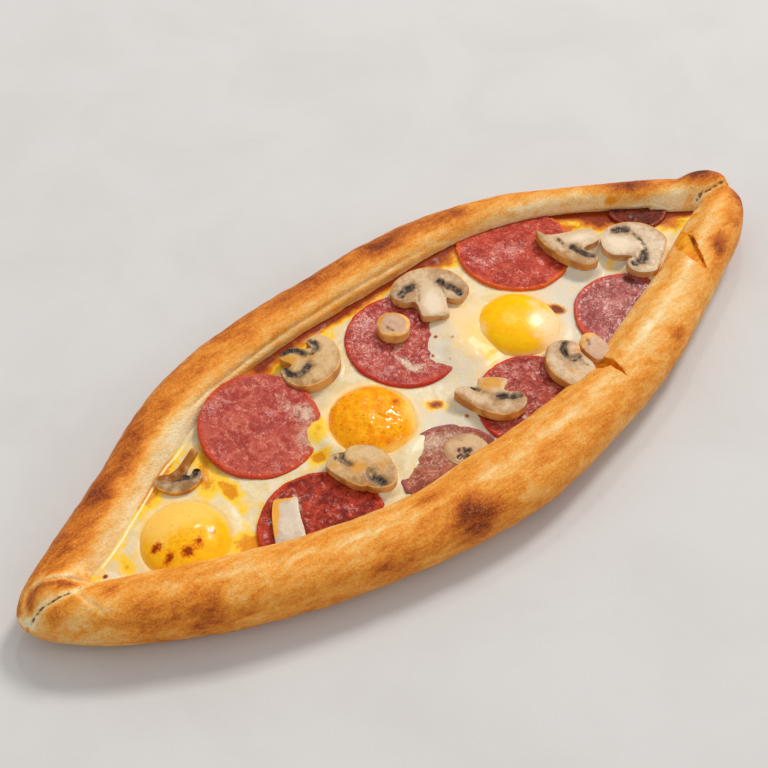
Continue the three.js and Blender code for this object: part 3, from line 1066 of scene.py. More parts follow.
    def refine(self, piece: bpy.types.Object) -> None:
        """Divide the dough's faces more finely where narrow lines run.

        Args:
            piece: The dough.
        """
        for widen in self.refined:
            points = points_of(piece)
            strong = FAR_RIM.fold(points)
            for line in self.cracks + self.creases:
                strong = np.maximum(strong, self.drawn(line, points, widen))
            data = piece.data
            data.polygons.foreach_set("select", np.zeros(len(data.polygons), bool))
            data.edges.foreach_set("select", np.zeros(len(data.edges), bool))
            data.vertices.foreach_set("select", strong > 0.15)
            take(piece)
            bpy.ops.object.mode_set(mode="EDIT")
            bpy.ops.mesh.select_mode(type="VERT")
            bpy.ops.mesh.subdivide(number_cuts=1)
            bpy.ops.object.mode_set(mode="OBJECT")

    def lobe(self, points: np.ndarray) -> np.ndarray:
        """Give 1 on the left tip's pinched lobe and 0 away from it."""
        x = points[:, 0]
        return smooth(x, -168.5, -165) * smooth(x, -146.5, -150) * (points[:, 2] > 12)

    def browning(self, points: np.ndarray, ragged: np.ndarray) -> np.ndarray:
        """Work out how browned the dough is.

        Args:
            points: Its points, one row each.
            ragged: Unevenness of the patches' outlines.

        Returns:
            The browning at each point, from 0 for cream to 1 for scorched.
        """
        x = points[:, 0]
        border = 3.0 * np.sign(x) * smooth(np.abs(x), 140, 160)
        near = points[:, 1] < SHIFT_Y + border
        toast = np.where(near, NEAR_RIM.toast(points), FAR_RIM.toast(points))
        toast += 0.12 * cloud(points * (0.45, 1.0, 1.0), 20.0, 22, 3)
        toast += covered(self.scorches, points, ragged)
        toast += 0.12 * smooth(x, 138, 158) - 0.12 * smooth(x, -140, -156)
        # Lines and folds are paler
        for line in self.cracks:
            toast -= 0.30 * self.drawn(line, points, 3.4)
        for line in self.creases:
            toast -= 0.10 * self.drawn(line, points, 1.6)
        toast -= 0.12 * NEAR_RIM.fold(points) * (1 + cloud(points, 12.0, 23))
        toast -= 0.10 * FAR_RIM.fold(points) * (1 + cloud(points, 7.0, 25))
        # The left lobe is browned past its crease, and a thin painted highlight runs along the crease's far
        # side
        reach, _, side = self.creases[1].measure(points)
        past = -reach * side
        toast += 0.40 * self.lobe(points) * hump(past, 2.2, 2.0) * (0.9 + 0.5 * cloud(points, 4.0, 26))
        toast -= 0.22 * self.lobe(points) * hump(past, -1.0, 0.9)
        # The far rim's inner wall is golden to the right and creamy to the left
        wall = FAR_RIM.has(points) * (points[:, 2] > 6)
        golden = wall * smooth(FAR_RIM.angle(points), 112, 135) * smooth(x, -70, -20)
        toast += (0.15 - 0.1 * smooth(x, 40, 80)) * golden
        toast -= 0.13 * wall * smooth(FAR_RIM.angle(points), 98, 122) * smooth(x, -60, -90)
        # The rims' crests are paler on the right
        crest = NEAR_RIM.band(points, 92.0, 20.0) * smooth(x, 55, 70)
        toast -= 0.05 * crest * (1 + 1.6 * cloud(points, 9.0, 28, 2))
        shoulder = FAR_RIM.band(points, 118.0, 14.0) * smooth(x, -40, 0)
        return toast - (0.07 + 0.05 * smooth(x, 60, 90)) * shoulder

    def cracking(self, points: np.ndarray) -> np.ndarray:
        """Work out how dark the dough's narrow lines are at each point."""
        crack = np.zeros(len(points))
        for line in self.cracks:
            crack = np.maximum(crack, self.drawn(line, points) * (0.75 + 1.3 * cloud(points, 1.7, 24, 2)))
        crack = np.maximum(crack, 0.4 * self.drawn(self.creases[0], points, 0.8))
        # A faint painted shadow line along the left lobe's crease
        return np.maximum(crack, 0.25 * self.lobe(points) * self.drawn(self.creases[1], points, 0.6))

    def cutting(self, points: np.ndarray) -> np.ndarray:
        """Work out which points lie on a cut's faces, and how dark these are."""
        cut = np.zeros(len(points))
        for form in self.cuts:
            cut = np.maximum(cut, 0.6 * smooth(form.depth(points), -0.4, 0.1))
        cut += 0.42 * self.slit.cover(points) * (cut > 0.1) * (1 + 0.8 * cloud(points, 3.0, 27))
        return cut * smooth(points[:, 0], 52, 53) * (points[:, 1] < 0)

    def dress(self, piece: bpy.types.Object) -> None:
        """Brown the dough and give it its finish.

        Args:
            piece: The shaped dough.
        """
        points = points_of(piece)
        ragged = 0.4 * cloud(points, 8.0, 21, 4)
        paint(piece, Layer.TOAST, self.browning(points, ragged))
        paint(piece, Layer.STAIN, np.clip(covered(self.stains, points, ragged), 0, 1))
        paint(piece, Layer.CUT, self.cutting(points))
        paint(piece, Layer.CRACK, self.cracking(points))
        settle(piece, "crust", DoughFinish().material())


def outline_distance(outline: np.ndarray, points: np.ndarray) -> np.ndarray:
    """Measure how far points lie outside a closed outline in plan.

    Args:
        outline: The outline's corners in order, one row each.
        points: Places in the same units, one row each.

    Returns:
        Each place's distance from the outline, negative inside it.
    """
    nearest = np.full(len(points), np.inf)
    inside = np.zeros(len(points), bool)
    for first, second in zip(outline, np.roll(outline, -1, axis=0)):
        along = second - first
        share = np.clip(((points - first) @ along) / max(along @ along, 1e-12), 0, 1)
        nearest = np.minimum(nearest, np.linalg.norm(points - first - share[:, None] * along, axis=1))
        crosses = (first[1] > points[:, 1]) != (second[1] > points[:, 1])
        with np.errstate(divide="ignore", invalid="ignore"):
            at = first[0] + (points[:, 1] - first[1]) / (second[1] - first[1]) * along[0]
        inside ^= crosses & (points[:, 0] < at)
    return np.where(inside, -nearest, nearest)


@dataclass(frozen=True)
class EggYolk:
    """A yolk, a smooth dome in the filling, in millimetres; veils of egg white stop at a bare one."""

    number: int
    x: float
    y: float
    radius: float
    top: float
    finish: YolkFinish
    film: tuple[Patch, ...] = ()
    marks: tuple[Patch, ...] = ()
    bottom: float = 11.5
    power: float = 2.2
    wrinkle: float = 0.12
    spread: float = 1.0
    bare: bool = False
    segments: int = 128
    rings: int = 96

    def outside(self, points: np.ndarray) -> np.ndarray:
        """Give how far each point lies outside the yolk's round edge, negative inside."""
        return np.linalg.norm(points[:, :2] - (self.x, self.y + SHIFT_Y), axis=1) - self.radius * self.spread

    def build(self) -> bpy.types.Object:
        """Shape the dome from a ball.

        Returns:
            The shaped piece.
        """
        bpy.ops.object.select_all(action="DESELECT")
        bpy.ops.mesh.primitive_uv_sphere_add(segments=self.segments, ring_count=self.rings, radius=1.0)
        piece = bpy.context.object
        piece.name = f"yolk_{self.number}"
        points = points_of(piece) * MM
        across = np.linalg.norm(points[:, :2], axis=1)
        direction = points[:, :2] / np.maximum(across, 1e-6)[:, None]
        rise = np.clip(points[:, 2], 0, 1)
        wide = np.where(points[:, 2] > 0, (1 - rise ** self.power) ** (1 / self.power), across)
        flat = direction * (wide * self.radius * self.spread)[:, None]
        height = self.bottom + rise * (self.top - self.bottom)
        shaped = np.column_stack([flat + (self.x, self.y + SHIFT_Y), height])
        shaped[:, 2] += self.wrinkle * cloud(shaped, 3.5, self.number, 3) * smooth(rise, 0.0, 0.3)
        shaped[:, :2] += 0.6 * np.column_stack([cloud(shaped, 14.0, 31), cloud(shaped, 14.0, 32)])
        move_points(piece, shaped)
        return piece

    def dress(self, piece: bpy.types.Object) -> None:
        """Paint the film and the scorch marks.

        Args:
            piece: The shaped yolk.
        """
        points = points_of(piece)
        ragged = 0.35 * cloud(points, 4.0, 41, 3)
        rim = smooth(self.outside(points), -3.4, 0.2) * (1 + 0.8 * cloud(points, 5.0, 43))
        paint(piece, Layer.FILM, np.clip(covered(self.film, points, ragged) + 0.7 * rim, 0, 1))
        paint(piece, Layer.SCORCH, np.clip(covered(self.marks, points, 1.6 * ragged), 0, 1.2))
        settle(piece, f"egg_yolk_{self.number}", self.finish.material())


@dataclass(frozen=True)
class SausageSlice:
    """A slice of cured sausage in the filling, in millimetres; its patches lie in its own axes."""

    number: int
    x: float
    y: float
    radius: float
    finish: SausageFinish
    film: tuple[Patch, ...] = ()
    painted_glints: tuple[Patch, ...] = ()
    char: tuple[Patch, ...] = ()
    band: float = 3.0
    voxel: float = 0.5
    run_under: float = 3.6

    def outside(self, points: np.ndarray) -> np.ndarray:
        """Give how far each point lies outside the slice's round edge, negative inside."""
        return np.linalg.norm(points[:, :2] - (self.x, self.y + SHIFT_Y), axis=1) - self.radius

    def build(self, frame: dict[str, Any]) -> bpy.types.Object:
        """Shape the slice from the solid.

        Args:
            frame: The loaded frame.

        Returns:
            The shaped piece.
        """
        piece = copy_of_node(frame, f"sausage_slice_{self.number}", f"sausage_{self.number}")
        finish_with(piece, "REMESH", mode="VOXEL", voxel_size=self.voxel * MM)
        finish_with(piece, "SMOOTH", factor=0.5, iterations=4)
        points = points_of(piece)
        upward = smooth(normals_of(piece)[:, 2], 0.2, 0.8)
        inside = -self.outside(points)
        relief = 0.4 * cloud(points, 9.0, self.number, 2) + 0.16 * cloud(points, 2.0, 51, 2)
        relief += 0.3 * hump(inside, 0.0, 2.0)
        points[:, 2] += upward * relief
        cut_side = (1 - smooth(np.abs(normals_of(piece)[:, 2]), 0.3, 0.7)) * smooth(inside, 1.0, 2.0)
        points[:, :2] += normals_of(piece)[:, :2] * (self.run_under * cut_side)[:, None]
        points[:, :2] += 0.5 * np.column_stack([cloud(points, 7.0, 52, 2), cloud(points, 7.0, 53, 2)])
        move_points(piece, points)
        return piece

    def dress(self, piece: bpy.types.Object) -> None:
        """Paint the bright edge, the egg-white film, the painted highlights and the char.

        Args:
            piece: The shaped slice.
        """
        points = points_of(piece)
        own = seen_from(points, self.x, self.y + SHIFT_Y)
        ragged = 0.4 * cloud(points, 5.0, 61, 3)
        inside = -self.outside(points)
        side = 1 - smooth(normals_of(piece)[:, 2], 0.3, 0.8)
        rim = smooth(inside, self.band, 0.2) * (0.9 + 0.6 * cloud(points, 8.0, 62 + self.number))
        paint(piece, Layer.EDGE, np.clip(np.maximum(rim, side), 0, 1))
        paint(piece, Layer.FILM, np.clip(covered(self.film, own, ragged), 0, 1))
        # Painted highlights: a little everywhere and more in clusters
        paint(piece, Layer.GLINT, 0.12 + np.clip(covered(self.painted_glints, own, ragged), 0, 1))
        paint(piece, Layer.SCORCH, np.clip(covered(self.char, own, ragged), 0, 1))
        settle(piece, f"sausage_slice_{self.number}", self.finish.material())


@dataclass(frozen=True)
class MushroomPiece:
    """A slice of mushroom lying flat, in millimetres; its corners and marks lie in its own axes.

    The dome is the heading that the cap's round side faces, in degrees from its own right.
    """

    number: int
    x: float
    y: float
    top: float
    thick: float
    dome: float
    corners: tuple[tuple[float, float], ...]
    gills: tuple[Stroke, ...] = ()
    stain: tuple[Patch, ...] = ()
    browned: tuple[Patch, ...] = ()
    pale: tuple[Patch, ...] = ()
    finish: MushroomFinish = MushroomFinish("cooked_mushroom")
    band: float = 0.9
    voxel: float = 0.4
    line_step: float = 40.0

    @property
    def bottom(self) -> float:
        """Give the height of its underside."""
        return self.top - self.thick

    def outline(self) -> np.ndarray:
        """Give its outline in its own axes: a smooth closed line through its corners."""
        corners = np.array(self.corners)
        share = np.linspace(0, 1, 6, endpoint=False)[:, None]
        curves = []
        for index, start in enumerate(corners):
            before, end, after = (corners[(index + step) % len(corners)] for step in (-1, 1, 2))
            bend = 2 * before - 5 * start + 4 * end - after
            twist = 3 * start - before - 3 * end + after
            curves.append(start + 0.5 * ((end - before) * share + bend * share ** 2 + twist * share ** 3))
        return np.vstack(curves)

    def placed(self) -> np.ndarray:
        """Give its outline in the part's frame."""
        own = self.outline()
        cosine, sine = math.cos(VIEW_TURN), math.sin(VIEW_TURN)
        x = self.x + own[:, 0] * cosine - own[:, 1] * sine
        return np.column_stack([x, self.y + own[:, 0] * sine + own[:, 1] * cosine])

    def gill(self, own: np.ndarray, widen: float = 1.0) -> np.ndarray:
        """Give how much of the dark gills shows at each place in its own axes."""
        total = np.zeros(len(own))
        for line in self.gills:
            total = np.maximum(total, line.depth * line.cover(own, widen))
        return total

    def strand(self, own: np.ndarray) -> np.ndarray:
        """Give each place's distance along the nearest line of gills."""
        nearest = np.full(len(own), np.inf)
        place = np.zeros(len(own))
        for index, line in enumerate(self.gills):
            gap, along, _ = line.measure(own)
            place = np.where(gap < nearest, along + self.line_step * index, place)
            nearest = np.minimum(gap, nearest)
        return place

    def build(self) -> bpy.types.Object:
        """Cut the piece from a flat round and make it thick.

        Returns:
            The shaped piece.
        """
        outline = self.placed()
        piece = slab(f"mushroom_{self.number}", outline, self.bottom, self.thick, self.voxel)
        finish_with(piece, "SMOOTH", factor=0.5, iterations=3)
        points = points_of(piece)
        own = seen_from(points, self.x, self.y)
        upward = smooth(normals_of(piece)[:, 2], 0.3, 0.8)
        depth = -outline_distance(outline, points[:, :2])
        relief = 0.35 * cloud(points, 7.0, self.number, 2) + 0.08 * cloud(points, 1.6, 71, 2)
        relief += 0.25 * self.gill(own, 2.0) - 1.1 * self.gill(own) - 0.25 * hump(depth, 0.0, 1.2)
        points[:, 2] += upward * relief
        move_points(piece, points)
        return piece

    def dress(self, piece: bpy.types.Object, material: bpy.types.Material) -> None:
        """Paint wet flesh, skin, gills and stains.

        Args:
            piece: The shaped piece.
            material: The mushroom's material.
        """
        points = points_of(piece)
        own = seen_from(points, self.x, self.y)
        depth = -outline_distance(self.placed(), points[:, :2])
        side = 1 - smooth(normals_of(piece)[:, 2], 0.35, 0.75)
        ragged = 0.35 * cloud(points, 4.0, 81, 3)
        heading = math.radians(self.dome)
        outer = smooth(own @ (math.cos(heading), math.sin(heading)), -3.0, 3.0)
        skin = np.maximum(side * (0.65 + 0.35 * outer), outer * smooth(depth, self.band, 0.1))
        wet = 0.7 * self.gill(own, 3.0) + 0.5 * outer * smooth(depth, 4.5, 0.2)
        wet += 0.45 * cloud(points, 5.0, 83, 2)
        paint(piece, Layer.SKIN, np.clip(skin + covered(self.browned, own, ragged), 0, 1))
        paint(piece, Layer.STRAND, self.strand(own))
        paint(piece, Layer.FILM, np.clip(wet, 0, 1))
        gill = np.maximum(self.gill(own, 1.15), 0.3 * self.gill(own, 2.4))
        gill *= 1 + 1.1 * cloud(points, 1.5, 82, 2)
        paint(piece, Layer.GILL, np.clip(gill, 0, 1.2))
        paint(piece, Layer.WHITE, np.clip(covered(self.pale, own, ragged), 0, 1))
        paint(piece, Layer.STAIN, np.clip(covered(self.stain, own, ragged), 0, 1))
        settle(piece, f"mushroom_piece_{self.number}", material)


@dataclass
class Filling:
    """Cheese and egg white in the trough, round the toppings and over some of them, in millimetres."""

    level: float = 14.5
    ends: tuple[float, float] = (-144.0, 144.0)
    columns: int = 460
    rows: int = 150
    under: float = 1.4
    tuck: float = 5.0
    skin: float = 3.0
    nothing: float = 99.0
    overhead: float = 60.0
    veils: tuple[Patch, ...] = patches(
        (27.0, 14.0, 12.5, 2.7), (21.0, 0.0, 11.5, 2.7), (-43.5, 3.5, 8.4, 2.4), (-47.0, -5.0, 4.6, 1.8),
        (0.0, -24.0, 6.0, 1.6, 1.6, 0), (-27.5, -24.0, 6.2, 2.5, 2.6, 32), (100.0, 2.0, 4.0, 2.0, 1.2, 20),
    )
    white: tuple[Patch, ...] = patches(
        (30.0, -12.0, 17.0, 1.0, 1.4, -30), (64.0, -10.0, 14.0, 1.0, 1.3, -60), (22.0, 8.0, 15.0, 1.3),
        (-6.0, -18.0, 12.0, 0.9, 1.2, -10), (80.0, 4.0, 12.0, 0.8, 1.2, 0), (98.0, 2.0, 8.0, 0.8),
        (-128.0, 2.0, 9.0, 0.5), (-44.0, 6.0, 6.0, 0.6),
    )
    peach: tuple[Patch, ...] = patches(
        (29.0, 3.0, 10.0, 0.9, 1.6, 70), (36.0, -15.0, 8.0, 0.9, 1.5, 20), (57.0, 11.0, 7.0, 0.7, 1.4, 0),
        (-14.0, -10.0, 7.0, 0.35), (57.0, -11.0, 6.5, 0.3),
    )
    stains: tuple[Patch, ...] = patches(
        (-87.0, 19.0, 5.0, 1.1, 1.6, 60), (-86.0, 3.0, 3.4, 1.3, 2.2, 80), (-92.0, 10.0, 4.0, 0.9, 1.6, 70),
        (-92.0, -21.0, 5.0, 1.5, 2.0, -30), (-83.0, -14.0, 3.0, 1.1, 1.8, 60),
        (-131.6, -0.8, 2.8, 1.0, 1.8, 80), (-30.7, 43.5, 5.0, 1.1, 2.0, 0), (-18.0, 40.0, 4.0, 0.9, 1.6, 0),
        (-46.5, 5.0, 3.6, 1.0, 1.7, 70), (-53.2, -4.6, 3.0, 1.4, 1.2, 0), (-70.0, -9.0, 2.2, 0.7, 2.6, 20),
        (-104.0, 23.0, 4.0, 1.2, 2.6, 40), (97.0, -1.0, 3.0, 0.5, 1.2, 0), (27.5, -7.0, 4.0, 0.5, 2.0, 60),
        (33.0, -17.0, 3.5, 0.6, 1.6, -20), (20.0, -23.0, 2.0, 0.5, 1.6, 0),
    )
    oils: tuple[Patch, ...] = patches(
        (-3.9, -12.1, 1.9, 1.6, 1.5, -40), (63.4, -5.3, 2.2, 0.9, 1.1, -30),
        (-45.0, 41.0, 4.5, 0.8, 1.5, 20), (-5.0, 48.8, 4.0, 1.2, 1.8, 0), (-12.0, 48.0, 4.0, 0.9, 1.6, 0),
        (-34.0, 39.5, 3.5, 0.9, 1.6, 0), (44.3, 43.2, 4.0, 1.1, 1.8, -15), (93.6, 27.4, 4.5, 1.3, 1.6, -28),
        (112.4, 20.8, 5.0, 1.0, 2.0, -28), (121.0, 17.3, 5.0, 1.3, 1.8, -28),
        (126.0, 10.9, 5.0, 1.1, 1.6, -28), (134.0, 4.0, 6.0, 0.8, 1.6, -40),
    )
    specks: tuple[Patch, ...] = patches(
        (63.8, -5.3, 2.3, 1.3, 1.4, -60), (16.3, 12.5, 0.9, 1.0), (20.6, 7.6, 0.9, 0.6),
        (9.7, 6.1, 0.8, 0.9), (13.5, 0.5, 0.8, 0.5), (0.9, -24.1, 1.0, 0.8), (-139.4, 0.7, 0.9, 1.3),
    )

    def walls(self, crust: bpy.types.Object) -> tuple[np.ndarray, np.ndarray, np.ndarray]:
        """Find the trough's two walls at the filling's level.

        Args:
            crust: The shaped dough.

        Returns:
            Places along the boat, and the near and far wall at each.
        """
        tree = BVHTree.FromObject(crust, bpy.context.evaluated_depsgraph_get())
        places, near, far = [], [], []
        for x in np.linspace(*self.ends, self.columns):
            middle = float(0.5 * (NEAR_RIM.centre(np.array(x)) + FAR_RIM.centre(np.array(x))))
            start = Vector((x, middle, self.level)) * MM
            hits = [tree.ray_cast(start, Vector((0, side, 0)))[0] for side in (-1, 1)]
            above = tree.ray_cast(start, Vector((0, 0, 1)))[0]
            if all(hits) and above is None:
                places.append(x)
                near.append(hits[0].y / MM)
                far.append(hits[1].y / MM)
        middle = [(near[end] + far[end]) / 2 for end in (0, -1)]
        places = [places[0] - self.tuck, *places, places[-1] + self.tuck]
        near = [middle[0] - 0.5, *near, middle[1] - 0.5]
        far = [middle[0] + 0.5, *far, middle[1] + 0.5]
        return np.array(places), np.array(near), np.array(far)

    def build(
        self,
        crust: bpy.types.Object,
        toppings: Sequence[bpy.types.Object],
        yolks: Sequence[EggYolk],
        mushrooms: Sequence[MushroomPiece],
    ) -> bpy.types.Object:
        """Pour the filling between the walls and round the toppings, and paint it.

        Args:
            crust: The shaped dough.
            toppings: The shaped slices and yolks that lie in the filling.
            yolks: The egg yolks' sizes.
            mushrooms: The mushroom pieces' sizes.

        Returns:
            The shaped piece.
        """
        places, near, far = self.walls(crust)
        bpy.ops.object.select_all(action="DESELECT")
        bpy.ops.mesh.primitive_grid_add(x_subdivisions=self.columns, y_subdivisions=self.rows, size=2.0)
        piece = bpy.context.object
        piece.name = "filling_melt"
        flat = points_of(piece) * MM
        x = places[0] + (places[-1] - places[0]) * (flat[:, 0] + 1) / 2
        low = np.interp(x, places, near)
        high = np.interp(x, places, far)
        y = low - self.under + (high - low + 2 * self.under) * (flat[:, 1] + 1) / 2
        points = np.column_stack([x, y, np.full(len(x), self.level)])
        ragged = 0.45 * cloud(points, 5.0, 101, 3)
        level = self.heights(points, y - low, high - y, mushrooms)
        level = np.minimum(level, self.covers(points, toppings) - 0.5)
        veil = covered(self.veils, points, 0.3 * cloud(points, 9.0, 103, 2))
        for yolk in yolks:
            gap = yolk.outside(points)
            level = np.maximum(level, self.level + 0.5 * smooth(gap, 7.0, 0.0) * smooth(gap, -1.4, -0.5))
            if yolk.bare:
                veil *= smooth(gap, -1.2, 0.6)
        level = np.maximum(level, self.level + veil)
        points[:, 2] = level
        move_points(piece, points)
        self.colour(piece, points, high - y, ragged, yolks)
        bpy.ops.object.mode_set(mode="EDIT")
        bpy.ops.mesh.select_all(action="DESELECT")
        bpy.ops.mesh.select_mode(type="EDGE")
        bpy.ops.mesh.select_non_manifold()
        bpy.ops.mesh.extrude_edges_move(TRANSFORM_OT_translate={"value": (0, 0, -self.skin * MM)})
        bpy.ops.mesh.edge_face_add()
        bpy.ops.mesh.select_all(action="SELECT")
        bpy.ops.mesh.normals_make_consistent(inside=False)
        bpy.ops.object.mode_set(mode="OBJECT")
        return piece

    def covers(self, points: np.ndarray, toppings: Sequence[bpy.types.Object]) -> np.ndarray:
        """Find the top of whatever lies in the filling at each place.

        Args:
            points: Places in the part's frame, one row each.
            toppings: The pieces that lie in the filling.

        Returns:
            The height of the piece there, or a great height where there is none.
        """
        top = np.full(len(points), self.nothing)
        graph = bpy.context.evaluated_depsgraph_get()
        for topping in toppings:
            tree = BVHTree.FromObject(topping, graph)
            shape = points_of(topping)
            low, high = shape[:, :2].min(axis=0), shape[:, :2].max(axis=0)
            within = np.flatnonzero(np.all((points[:, :2] > low) & (points[:, :2] < high), axis=1))
            for index in within:
                start = Vector((points[index, 0], points[index, 1], self.overhead)) * MM
                hit = tree.ray_cast(start, Vector((0, 0, -1)))[0]
                if hit is not None:
                    top[index] = hit.z / MM
        return top

    def heights(
        self,
        points: np.ndarray,
        from_near: np.ndarray,
        from_far: np.ndarray,
        mushrooms: Sequence[MushroomPiece],
    ) -> np.ndarray:
        """Work out the filling's own level at each place.

        Args:
            points: Places in the part's frame, one row each.
            from_near: Their distance from the near wall.
            from_far: Their distance from the far wall.
            mushrooms: The mushroom pieces' sizes.

        Returns:
            The level at each place.
        """
        level = self.level + 0.4 * cloud(points, 18.0, 91, 2) + 0.14 * cloud(points, 4.5, 92, 3)
        level += 0.5 * hump(np.clip(from_near, 0, None), 0.0, 2.0)
        level += 0.9 * hump(np.clip(from_far, 0, None), 0.0, 2.0) * smooth(points[:, 0], 10, -60)
        for piece in mushrooms:
            gap = outline_distance(piece.placed(), points[:, :2])
            lift = max(piece.bottom + 0.6 - self.level, 0.6)
            level = np.maximum(level, self.level + lift * hump(np.clip(gap, 0, None), 0.0, 1.6))
        return level

    def colour(
        self,
        piece: bpy.types.Object,
        points: np.ndarray,
        from_far: np.ndarray,
        ragged: np.ndarray,
        yolks: Sequence[EggYolk],
    ) -> None:
        """Paint egg white, stains, oil, specks, painted shade by the far wall and a painted highlight.

        Args:
            piece: The poured filling.
            points: Its points, one row each.
            from_far: Their distance from the far wall.
            ragged: Unevenness of the patches' outlines.
            yolks: The egg yolks' sizes.
        """
        x = points[:, 0]
        patchy = 1 + 0.6 * cloud(points, 7.0, 102, 2)
        peach = covered(self.peach, points, ragged)
        for yolk in yolks:
            peach = np.maximum(peach, 0.6 * smooth(yolk.outside(points), 2.6, -0.5) * patchy)
        left_wall = smooth(from_far, 6.0, 1.0) * smooth(x, -80, -100)
        # Oil along the far wall, darker towards the wall's foot and towards the right end: partly oil and
        # partly painted shade under the overhanging far rim
        sauce = smooth(from_far, 6.5, 1.5) * smooth(x, -62, -30) * patchy
        deep = smooth(from_far, 3.5, 0.5) * smooth(x, -62, -30)
        oil = covered(self.oils, points, ragged) + 0.7 * deep + (0.9 + 0.5 * smooth(x, 85, 105)) * sauce
        # A thin painted highlight along the foot of the far wall, on the left
        painted_glint = hump(from_far, 0.9, 0.35)
        painted_glint *= smooth(x, -84, -92) * smooth(x, -139.5, -137.5)
        paint(piece, Layer.WHITE, np.clip(covered(self.white, points, ragged), 0, 1))
        paint(piece, Layer.PEACH, np.clip(peach, 0, 1))
        paint(piece, Layer.STAIN, covered(self.stains, points, ragged) + 0.55 * left_wall * patchy)
        paint(piece, Layer.OIL, oil)
        paint(piece, Layer.SCORCH, covered(self.specks, points, 0.5 * ragged))
        paint(piece, Layer.GLINT, np.clip(painted_glint, 0, 1))

    def dress(self, piece: bpy.types.Object) -> None:
        """Give the filling its finish."""
        settle(piece, "filling", FillingFinish().material())


@dataclass(frozen=True)
class Lamp:
    """A soft round lamp that points at the pide, in metres and watts."""

    name: str
    place: tuple[float, float, float]
    size: float
    power: float
    colour: tuple[float, float, float] = (1.0, 0.97, 0.92)

    def hang(self) -> None:
        """Hang the lamp."""
        data = bpy.data.lights.new(self.name, "AREA")
        data.shape = "DISK"
        data.size = self.size
        data.energy = self.power
        data.color = self.colour
        lamp = bpy.data.objects.new(self.name, data)
        lamp.location = self.place
        lamp.rotation_euler = (-Vector(self.place)).to_track_quat("-Z", "Y").to_euler()
        bpy.context.scene.collection.objects.link(lamp)


@dataclass
class Studio:
    """Ground, light and camera."""

    floor_width: float = 6.0
    sky: Colour = (1.0, 0.985, 0.965, 1.0)
    sky_strength: float = 0.65
    lamps: tuple[Lamp, ...] = (
        Lamp("key", (2.59, 0.84, 2.93), 0.85, 86.0, (1.0, 0.965, 0.91)),
        Lamp("sheen", (0.99, 1.18, 1.97), 0.25, 6.0),
        Lamp("spark", (0.88, -1.05, 0.97), 0.22, 1.5),
    )
    lens: float = 65.625
    sensor: float = 36.0
    elevation: float = 51.0
    heading: float = 0.671
    distance: float = 547.16
    target: tuple[float, float] = (-5.58, 16.98)

    def ground(self) -> None:
        """Lay the plain ground."""
        bpy.ops.object.select_all(action="DESELECT")
        bpy.ops.mesh.primitive_plane_add(size=self.floor_width)
        floor = bpy.context.object
        floor.name = "ground"
        floor.data.materials.append(FloorFinish().material())

    def light(self) -> None:
        """Light the pide softly from above and behind on the right."""
        world = bpy.data.worlds.new("studio")
        world.use_nodes = True
        background = world.node_tree.nodes["Background"]
        background.inputs["Color"].default_value = self.sky
        background.inputs["Strength"].default_value = self.sky_strength
        world.cycles_visibility.glossy = False
        bpy.context.scene.world = world
        for lamp in self.lamps:
            lamp.hang()

    def camera(self) -> None:
        """Set the camera at the photograph's viewing angle."""
        tilt = math.radians(self.elevation)
        away = Vector((math.sin(self.heading), math.cos(self.heading), 0.0))
        back = Vector((0, 0, 1)) * math.sin(tilt) - away * math.cos(tilt)
        right = Vector((math.cos(self.heading), -math.sin(self.heading), 0.0))
        up = back.cross(right)
        place = (Vector((*self.target, 0.0)) + back * self.distance) * MM
        data = bpy.data.cameras.new("camera")
        data.sensor_width = self.sensor
        data.lens = self.lens
        data.clip_start = 0.01
        camera = bpy.data.objects.new("camera", data)
        turn = Matrix((right, up, back)).transposed().to_4x4()
        camera.matrix_world = Matrix.Translation(place) @ turn
        bpy.context.scene.collection.objects.link(camera)
        bpy.context.scene.camera = camera
        bpy.context.scene.view_settings.view_transform = "Standard"


YOLKS = (
    EggYolk(
        1, -110.0, -7.5, 16.2, 20.5,
        YolkFinish(
            "yolk_soft", tone(251, 189, 16), tone(248, 176, 8), tone(249, 198, 92), gloss=0.4,
            gloss_rough=0.16,
        ),
        patches((-104.0, 7.0, 11.0, 1.2, 1.7, -20), (-115.0, 5.0, 8.0, 0.7)),
        patches(
            (-121.2, -3.0, 1.6, 1.0), (-119.2, -9.3, 1.7, 1.0, 1.3, 20), (-113.1, -11.3, 1.9, 1.1),
            (-108.0, -10.4, 1.2, 0.9, 1.6, 60), (-102.1, -8.9, 1.0, 0.9),
            (-112.0, -6.5, 5.0, 0.16, 1.6, -30),
        ),
        spread=1.04,
    ),
    EggYolk(
        2, -27.2, -6.6, 15.8, 20.0,
        YolkFinish(
            "yolk_firm", tone(251, 175, 14), tone(244, 142, 6), fleck_share=0.85, rough=0.4, gloss=0.4,
        ),
        patches((-14.0, -11.0, 5.0, 0.8, 1.6, 70), (-30.0, -19.0, 3.0, 0.5, 2.0, 0)),
        patches((-17.0, -4.2, 2.2, 0.75, 1.2, 40)),
        spread=1.08,
        wrinkle=0.5,
        bare=True,
    ),
    EggYolk(
        3, 46.0, -5.0, 15.2, 20.5,
        YolkFinish(
            "yolk_bright", tone(252, 194, 2), tone(251, 184, 2), tone(254, 218, 166), gloss=0.22,
            gloss_rough=0.25,
        ),
        patches((53.5, -9.5, 6.0, 1.1, 1.3, 40), (32.0, 4.0, 4.0, 0.5, 2.0, 60), (56.0, 2.0, 2.6, 0.4)),
        spread=1.12,
    ),
)

